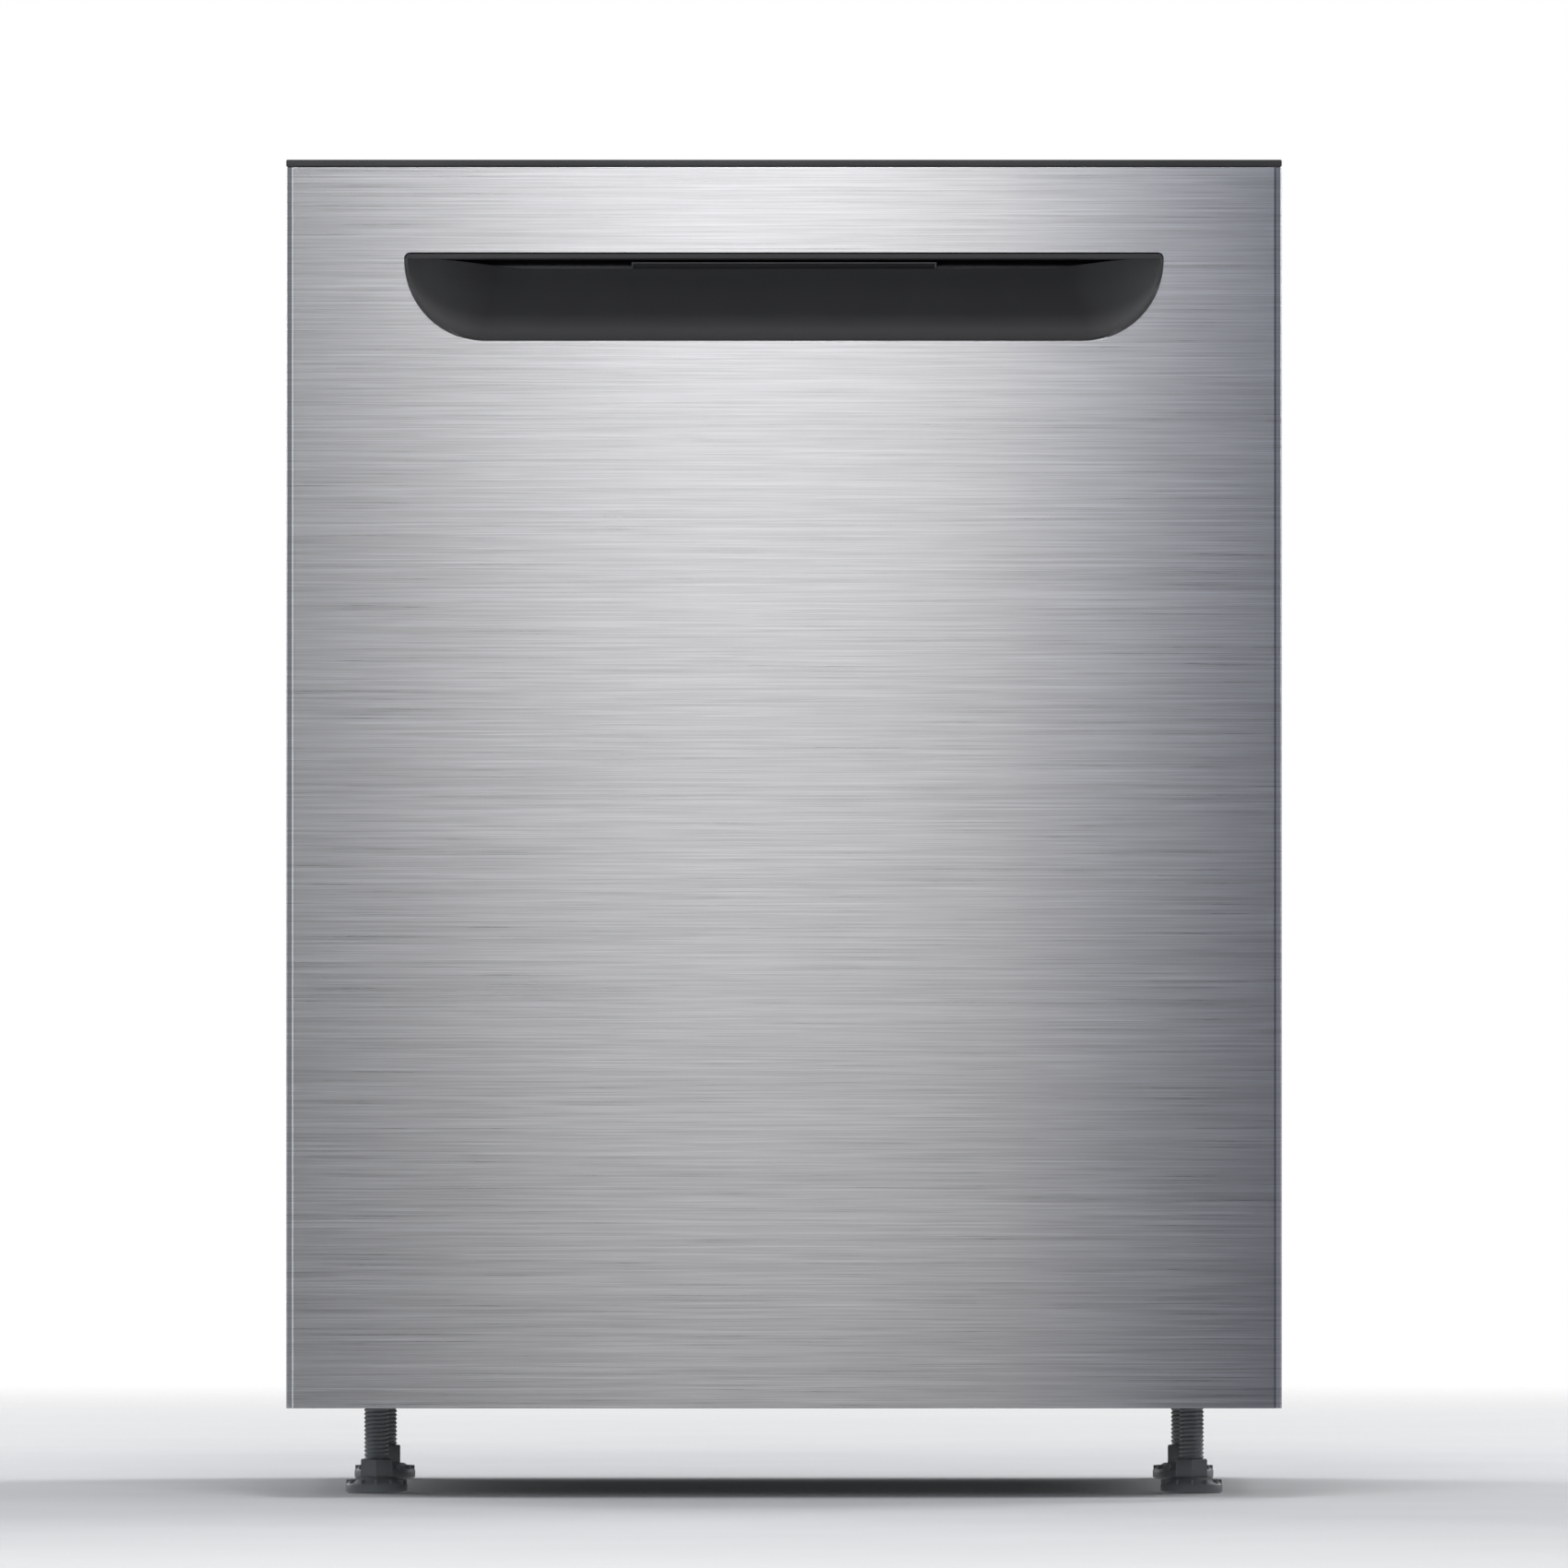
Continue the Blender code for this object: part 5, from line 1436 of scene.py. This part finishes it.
def tine_row(x, low, top, first, last, count, lean=0.0):
    """Upright tines for plates, each with a kink half way, on one wire along the floor."""
    lines = []
    for y in steps_between(first, last, count):
        lines.append(([(x, y, low), (x + lean * 0.6, y, (low + top) / 2), (x + lean, y, top)], False))
    lines.append(([(x, first - 10, low), (x, last + 10, low)], False))
    return lines


def rack_handle(node, name, z, half):
    """Rounded grip on the front of a rack's rim."""
    shape = bmesh.new()
    prism(shape, rounded(half, z - 9, z + 9, 8, 5, 6), from_front(RACK_FRONT - 7.5), 7)
    piece(name, shape, "arm_grey", node, bevel=1.6)


TINE_ROWS = (-130, 20)


def lower_rack():
    """Wire basket with tines, a grip and its wheel mounts."""
    node = "lower_rack"
    low, high = 204.6, 345
    basket(node, "rack_low", 256, low, high, 17, 15, 275)
    tines = []
    for x in TINE_ROWS:
        tines += tine_row(x, low + 4.5, 288, -168, 205, 16)
    wires("rack_low_tines", tines, THIN_WIRE, "coat", node)
    tips = bmesh.new()
    for x in TINE_ROWS:
        for y in steps_between(-168, 205, 16):
            drum(tips, (x, y, 287.4), "Z", 2.1, 4, sides=16, round_by=0.9)
    piece("rack_low_tips", tips, "coat", node)
    rack_handle(node, "rack_low_grip", 333, 62)
    clips = bmesh.new()
    for y in (-125, 190):
        block_pair(clips, (243.5, 249.4), around(y, 13), (171, 222), 2.2, 3)
        for side in (-1, 1):
            drum(clips, (side * 252.5, y, 180), "X", 3, 12, sides=20)
    piece("wheel_brackets", clips, "grey", node)


def rack_wheels():
    """Wheels with six spokes, a rounded tread and an axle."""
    for where, tag in product(("front", "rear"), ("left", "right")):
        node = f"rack_wheel_{where}_{tag}"
        (x_low, x_high), _, (z_low, z_high) = limits(node)
        _, y, z = centre_of(node)
        side = -1 if tag == "left" else 1
        outer = x_low + 5 if side < 0 else x_high - 5
        centre = (outer, y, z)
        radius = (z_high - z_low) / 2
        tread = [(radius - 4, -4.6), (radius - 1, -4.9), (radius - 0.1, -3.4), (radius, 0)]
        tread += [(reach, -across) for reach, across in reversed(tread[:3])]
        shape = bmesh.new()
        lathe(shape, tread, centre, "X", 48)
        drum(shape, centre, "X", 5.4, 9.8)
        spokes(shape, centre, "X", 6, (0, 0, 9.6), (4.4, 2.4, 10.4))
        drum(shape, (outer - side * 7, y, z), "X", 2.6, 6, sides=20)
        piece(f"roller_{where}_{tag}", shape, "arm_grey", node, [node], sharp=40)


def cutlery_basket():
    """Open basket of ribs and bands in three bays, with an arched handle."""
    node = "cutlery_basket"
    (x_low, x_high), (y_low, y_high), (z_low, z_high) = limits(node)
    rim = z_low + 125
    shape = bmesh.new()
    bar = 1.5
    bands = [z_low + 2, z_low + 28, z_low + 56, z_low + 84]
    walls_y = [y_low + bar, y_low + (y_high - y_low) / 3, y_low + 2 * (y_high - y_low) / 3, y_high - bar]
    for y in walls_y:
        for x in steps_between(x_low + bar, x_high - bar, 10):
            block(shape, around(x, 1.0), around(y, 1.1), (z_low, rim - 1), 0.4, 1)
        for z in bands:
            block(shape, (x_low, x_high), around(y, bar), around(z, 1.5), 0.5, 1)
        block(shape, (x_low, x_high), around(y, bar), (rim - 5, rim), 0.9, 2)
    for x in (x_low + bar, x_high - bar):
        for y in steps_between(y_low + bar, y_high - bar, 22):
            block(shape, around(x, 1.1), around(y, 1.0), (z_low, rim - 1), 0.4, 1)
        for z in bands:
            block(shape, around(x, bar), (y_low, y_high), around(z, 1.5), 0.5, 1)
        block(shape, around(x, bar), (y_low, y_high), (rim - 5, rim), 0.9, 2)
    for x in steps_between(x_low + 12, x_high - 12, 7):
        block(shape, around(x, 1.2), (y_low + 1, y_high - 1), (z_low, z_low + 2.4), 0.4, 1)
    for y in steps_between(y_low + 12, y_high - 12, 18):
        block(shape, (x_low + 1, x_high - 1), around(y, 1.2), (z_low + 0.4, z_low + 2.8), 0.4, 1)
    middle_x, middle_y, _ = centre_of(node)
    block(shape, around(middle_x, 1.3), (y_low + 80, y_high - 80), (z_low, rim), 0.5, 1)
    piece("cutlery_cage", shape, "grey", node, [node], sharp=40)
    grip = bmesh.new()
    outer = rounded(38, rim - 22, z_high - 0.2, 1, 17, 10, middle_y)
    prism(grip, outer, from_left(middle_x - 1.9), 3.8)
    grip = piece("cutlery_grip", grip, "arm_grey", node)
    window = bmesh.new()
    prism(window, rounded(29.5, rim - 15, z_high - 9, 2, 10, 8, middle_y), from_left(middle_x - 10), 20)
    cut_with(grip, window)
    round_edges(grip, 1.1, 3, harden=False)


def upper_rack():
    """Wire basket with leaning tines, a grip and its carriage."""
    node = "upper_rack"
    low, high = 501.6, 635
    basket(node, "rack_up", 246, low, high, 15, 13, 566)
    tines = []
    for x, lean in ((-60, 6), (60, -6), (180, 6)):
        tines += tine_row(x, low + 4.5, 556, -150, 190, 11, lean)
    wires("rack_up_tines", tines, THIN_WIRE, "coat", node)
    rack_handle(node, "rack_up_grip", 622, 70)
    carriage = bmesh.new()
    block_pair(carriage, (248.4, 263), (-204, 239), (581.2, 588.8), 1.6, 3)
    for y in (-150, 20, 180):
        block_pair(carriage, (243, 250.5), around(y, 16), (560, 596), 2.4, 3)
    piece("rack_up_carriage", carriage, "grey", node)


def manifold():
    """Water pipe under the upper rack, its collars and the arm's hub."""
    node = "upper_rack"
    y_high = limits("upper_manifold")[1][1]
    pipe = bend([(0.0, y_high - 0.2, 491.8), (0.0, ARM_Y, 491.8)], 5)
    wires("manifold_pipe", [(pipe, False)], 6.2, "grey", node, ["upper_manifold"], 6)
    hub = bmesh.new()
    profile = [(0.0, 0.0), (15.6, 0.0), (16.8, 1.4), (16.8, 9), (13, 12.3), (0.0, 12.3)]
    lathe(hub, profile, (0.0, ARM_Y, 485.7), "Z", 40)
    for y in (70, 130, 190):
        drum(hub, (0.0, y, 491.8), "Y", 7.0, 5, sides=32)
    drum(hub, (0.0, y_high - 5, 491.8), "Y", 7.0, 8, radius2=6.8, sides=32)
    piece("manifold_hub", hub, "grey", node)


def cup_shelf():
    """Folding wire shelf with its clips."""
    (x_low, x_high), (y_low, y_high), _ = limits("cup_shelf")
    middle, _, z = centre_of("cup_shelf")
    half = (x_high - x_low) / 2 - 2
    loop = [(x, y, z) for x, y in rounded(half, y_low + 2, y_high - 2, 10, 10, 6, middle)]
    wires("shelf_frame", [(loop, True)], 1.9, "coat", "cup_shelf", ["cup_shelf"], 4)
    slats = []
    for y in steps_between(y_low + 22, y_high - 22, 13):
        slats.append(([(middle - half, y, z), (middle + half, y, z)], False))
    wires("shelf_wires", slats, 1.3, "coat", "cup_shelf")
    clips = bmesh.new()
    for y in (-120, 15, 150):
        block(clips, (x_low + 0.2, x_low + 6), around(y, 8), around(z, 2.3), 1.0, 3)
    piece("shelf_clips", clips, "arm_grey", "cup_shelf")


def rails():
    """Fixed channels with end stops and rollers, and the half-travel slides."""
    paint("rail_steel", "upper_rail_left", "upper_rail_right", "rail_slide_left", "rail_slide_right")
    soften("upper_rail_left", "upper_rail_right", "rail_slide_left", "rail_slide_right", width=0.7)
    for side, tag in ((-1, "left"), (1, "right")):
        stops = bmesh.new()
        block(stops, sorted((side * 279.6, side * 289.6)), (245.2, 250), (574, 596), 1.4, 3)
        block(stops, sorted((side * 283.0, side * 290.4)), (-238.4, -235.2), (574, 596), 1.2, 3)
        piece("rail_stop_" + tag, stops, "grey", ROOT)


def hinge_arms():
    """Hinge arms that keep their CAD shape."""
    paint("zinc", "hinge_arm_left", "hinge_arm_right")
    soften("hinge_arm_left", "hinge_arm_right", width=0.4)


# ---- camera, lights and floor -------------------------------------------------------------------

CAMERA_LENS = 700.0
FRAME_WIDTH = 0.9543    # metres of the door's plane that the picture spans
DOOR_PLANE = FRONT * MM
DOOR_MIDDLE = 0.435


def camera():
    """Level camera in front of the door, far enough away to see FRAME_WIDTH across at the door's plane."""
    lens = bpy.data.cameras.new("camera")
    lens.lens = CAMERA_LENS
    lens.sensor_width = 36.0
    lens.clip_end = 60.0
    view = bpy.data.objects.new("camera", lens)
    view.location = (0.0, DOOR_PLANE - FRAME_WIDTH * CAMERA_LENS / 36.0, DOOR_MIDDLE)
    view.rotation_euler = (math.radians(90), 0.0, 0.0)
    bpy.context.scene.collection.objects.link(view)
    bpy.context.scene.camera = view


def soft_light(name, place, aim, width, height, power, tint=(1.0, 1.0, 1.0)):
    """A rectangular light that faces `aim` and isn't seen itself."""
    lamp = bpy.data.lights.new(name, "AREA")
    lamp.shape = "RECTANGLE"
    lamp.size = width
    lamp.size_y = height
    lamp.energy = power
    lamp.color = tint
    thing = bpy.data.objects.new(name, lamp)
    thing.location = place
    thing.rotation_euler = (Vector(aim) - Vector(place)).to_track_quat("-Z", "Y").to_euler()
    thing.visible_camera = False
    bpy.context.scene.collection.objects.link(thing)


def lamps():
    """Tall soft lights before the door, one inside the tub, and weaker ones around the machine."""
    soft_light("key", (-0.02, -2.7, 1.72), (0.0, DOOR_PLANE, 0.60), 0.44, 1.9, 7.7)
    soft_light("low", (-0.02, -2.7, 0.38), (0.0, DOOR_PLANE, 0.40), 0.44, 0.75, 0.75)
    soft_light("above", (-0.03, -1.5, 2.4), (0.0, DOOR_PLANE, 0.70), 0.5, 0.7, 11.0)
    soft_light("left", (-0.95, -2.7, 0.8), (0.0, DOOR_PLANE, 0.40), 0.7, 2.4, 8.0, (0.88, 0.94, 1.0))
    soft_light("inside", (0.0, -0.12, 0.70), (0.0, 0.10, 0.30), 0.44, 0.26, 0.55)
    soft_light("top", (0.2, 0.6, 2.6), (0.0, 0.2, 0.4), 1.8, 1.4, 16.0)
    soft_light("behind_left", (-1.9, 1.7, 1.4), (0.0, 0.3, 0.4), 1.2, 1.6, 22.0)
    soft_light("behind_right", (2.0, 1.5, 1.6), (0.0, 0.3, 0.4), 1.2, 1.6, 30.0)


def surround():
    """White to the camera; in reflections a pale room with a dark gap in front of the door."""
    world = bpy.data.worlds.new("studio")
    bpy.context.scene.world = world
    world.use_nodes = True
    world.node_tree.nodes.clear()
    sky = Graph(world.node_tree)
    split = sky.node("ShaderNodeSeparateXYZ")
    sky.link(sky.node("ShaderNodeTexCoord").outputs["Generated"], split.inputs["Vector"])
    x, y, z = (split.outputs[axis] for axis in "XYZ")
    above = sky.blend(sky.span(z, -0.4, 0.9), (0.076, 0.084, 0.098), (0.252, 0.266, 0.280))
    room = sky.blend(sky.span(z, 0.02, -0.10), above, (0.46, 0.47, 0.49))
    aside = sky.span(sky.math("ABSOLUTE", x, 0.0), 0.16, 0.50)
    steep = sky.span(sky.math("ABSOLUTE", z, 0.0), 0.50, 0.85)
    rear = sky.span(y, -0.30, 0.10)
    lit = sky.math("MAXIMUM", sky.math("MAXIMUM", aside, steep), rear)
    room = sky.blend(lit, (0.008, 0.009, 0.012), room)
    glow = sky.node("ShaderNodeBackground")
    sky.link(room, glow.inputs["Color"])
    white = sky.node("ShaderNodeBackground")
    white.inputs["Color"].default_value = (1.0, 1.0, 1.0, 1.0)
    choose = sky.node("ShaderNodeMixShader")
    sky.link(sky.node("ShaderNodeLightPath").outputs["Is Camera Ray"], choose.inputs[0])
    sky.link(glow.outputs["Background"], choose.inputs[1])
    sky.link(white.outputs["Background"], choose.inputs[2])
    sky.link(choose.outputs["Shader"], sky.node("ShaderNodeOutputWorld").inputs["Surface"])
    bpy.context.scene.view_settings.view_transform = "Standard"
    bpy.context.scene.view_settings.look = "None"


def floor():
    """Wide pale floor that fades into the white surround."""
    shape = bmesh.new()
    bmesh.ops.create_circle(shape, cap_ends=True, segments=96, radius=4.5)
    mesh = bpy.data.meshes.new("floor")
    shape.to_mesh(mesh)
    shape.free()
    ground = bpy.data.objects.new("floor", mesh)
    bpy.context.scene.collection.objects.link(ground)
    look = Look("floor", roughness=0.75)
    cloud = look.noise(6.0, 3.0)
    look.colour(look.blend(look.span(cloud, 0.3, 0.7), (0.86, 0.86, 0.87), (0.90, 0.90, 0.91)))
    ring = look.node("ShaderNodeVectorMath", operation="LENGTH")
    look.link(look.place(), ring.inputs[0])
    see = look.span(ring.outputs["Value"], 0.9, 3.2, 1.0, 0.0)
    look.link(see, look.shader.inputs["Alpha"])
    mesh.materials.append(look.material)
    ground.visible_glossy = False


# ---- all together -------------------------------------------------------------------------------

camera()
lamps()
surround()
floor()
door_front()
handle_scoop()
latch_flap()
top_console()
console_keys()
door_electronics()
inner_liner()
door_vent()
dispenser()
dispenser_flap()
rinse_cap()
base_tray()
hinge_ears()
legs()
toe_plate()
sump_bowl()
circulation_pump()
drain_pump()
wiring_box()
water_inlet()
drain_outlet()
steel_tub()
tub_front()
door_seal()
brackets()
blanket()
spray_arms()
floor_sieve()
filter_cup()
heater()
feed_pipe()
float_dome()
lower_rack()
rack_wheels()
cutlery_basket()
upper_rack()
manifold()
cup_shelf()
rails()
hinge_arms()
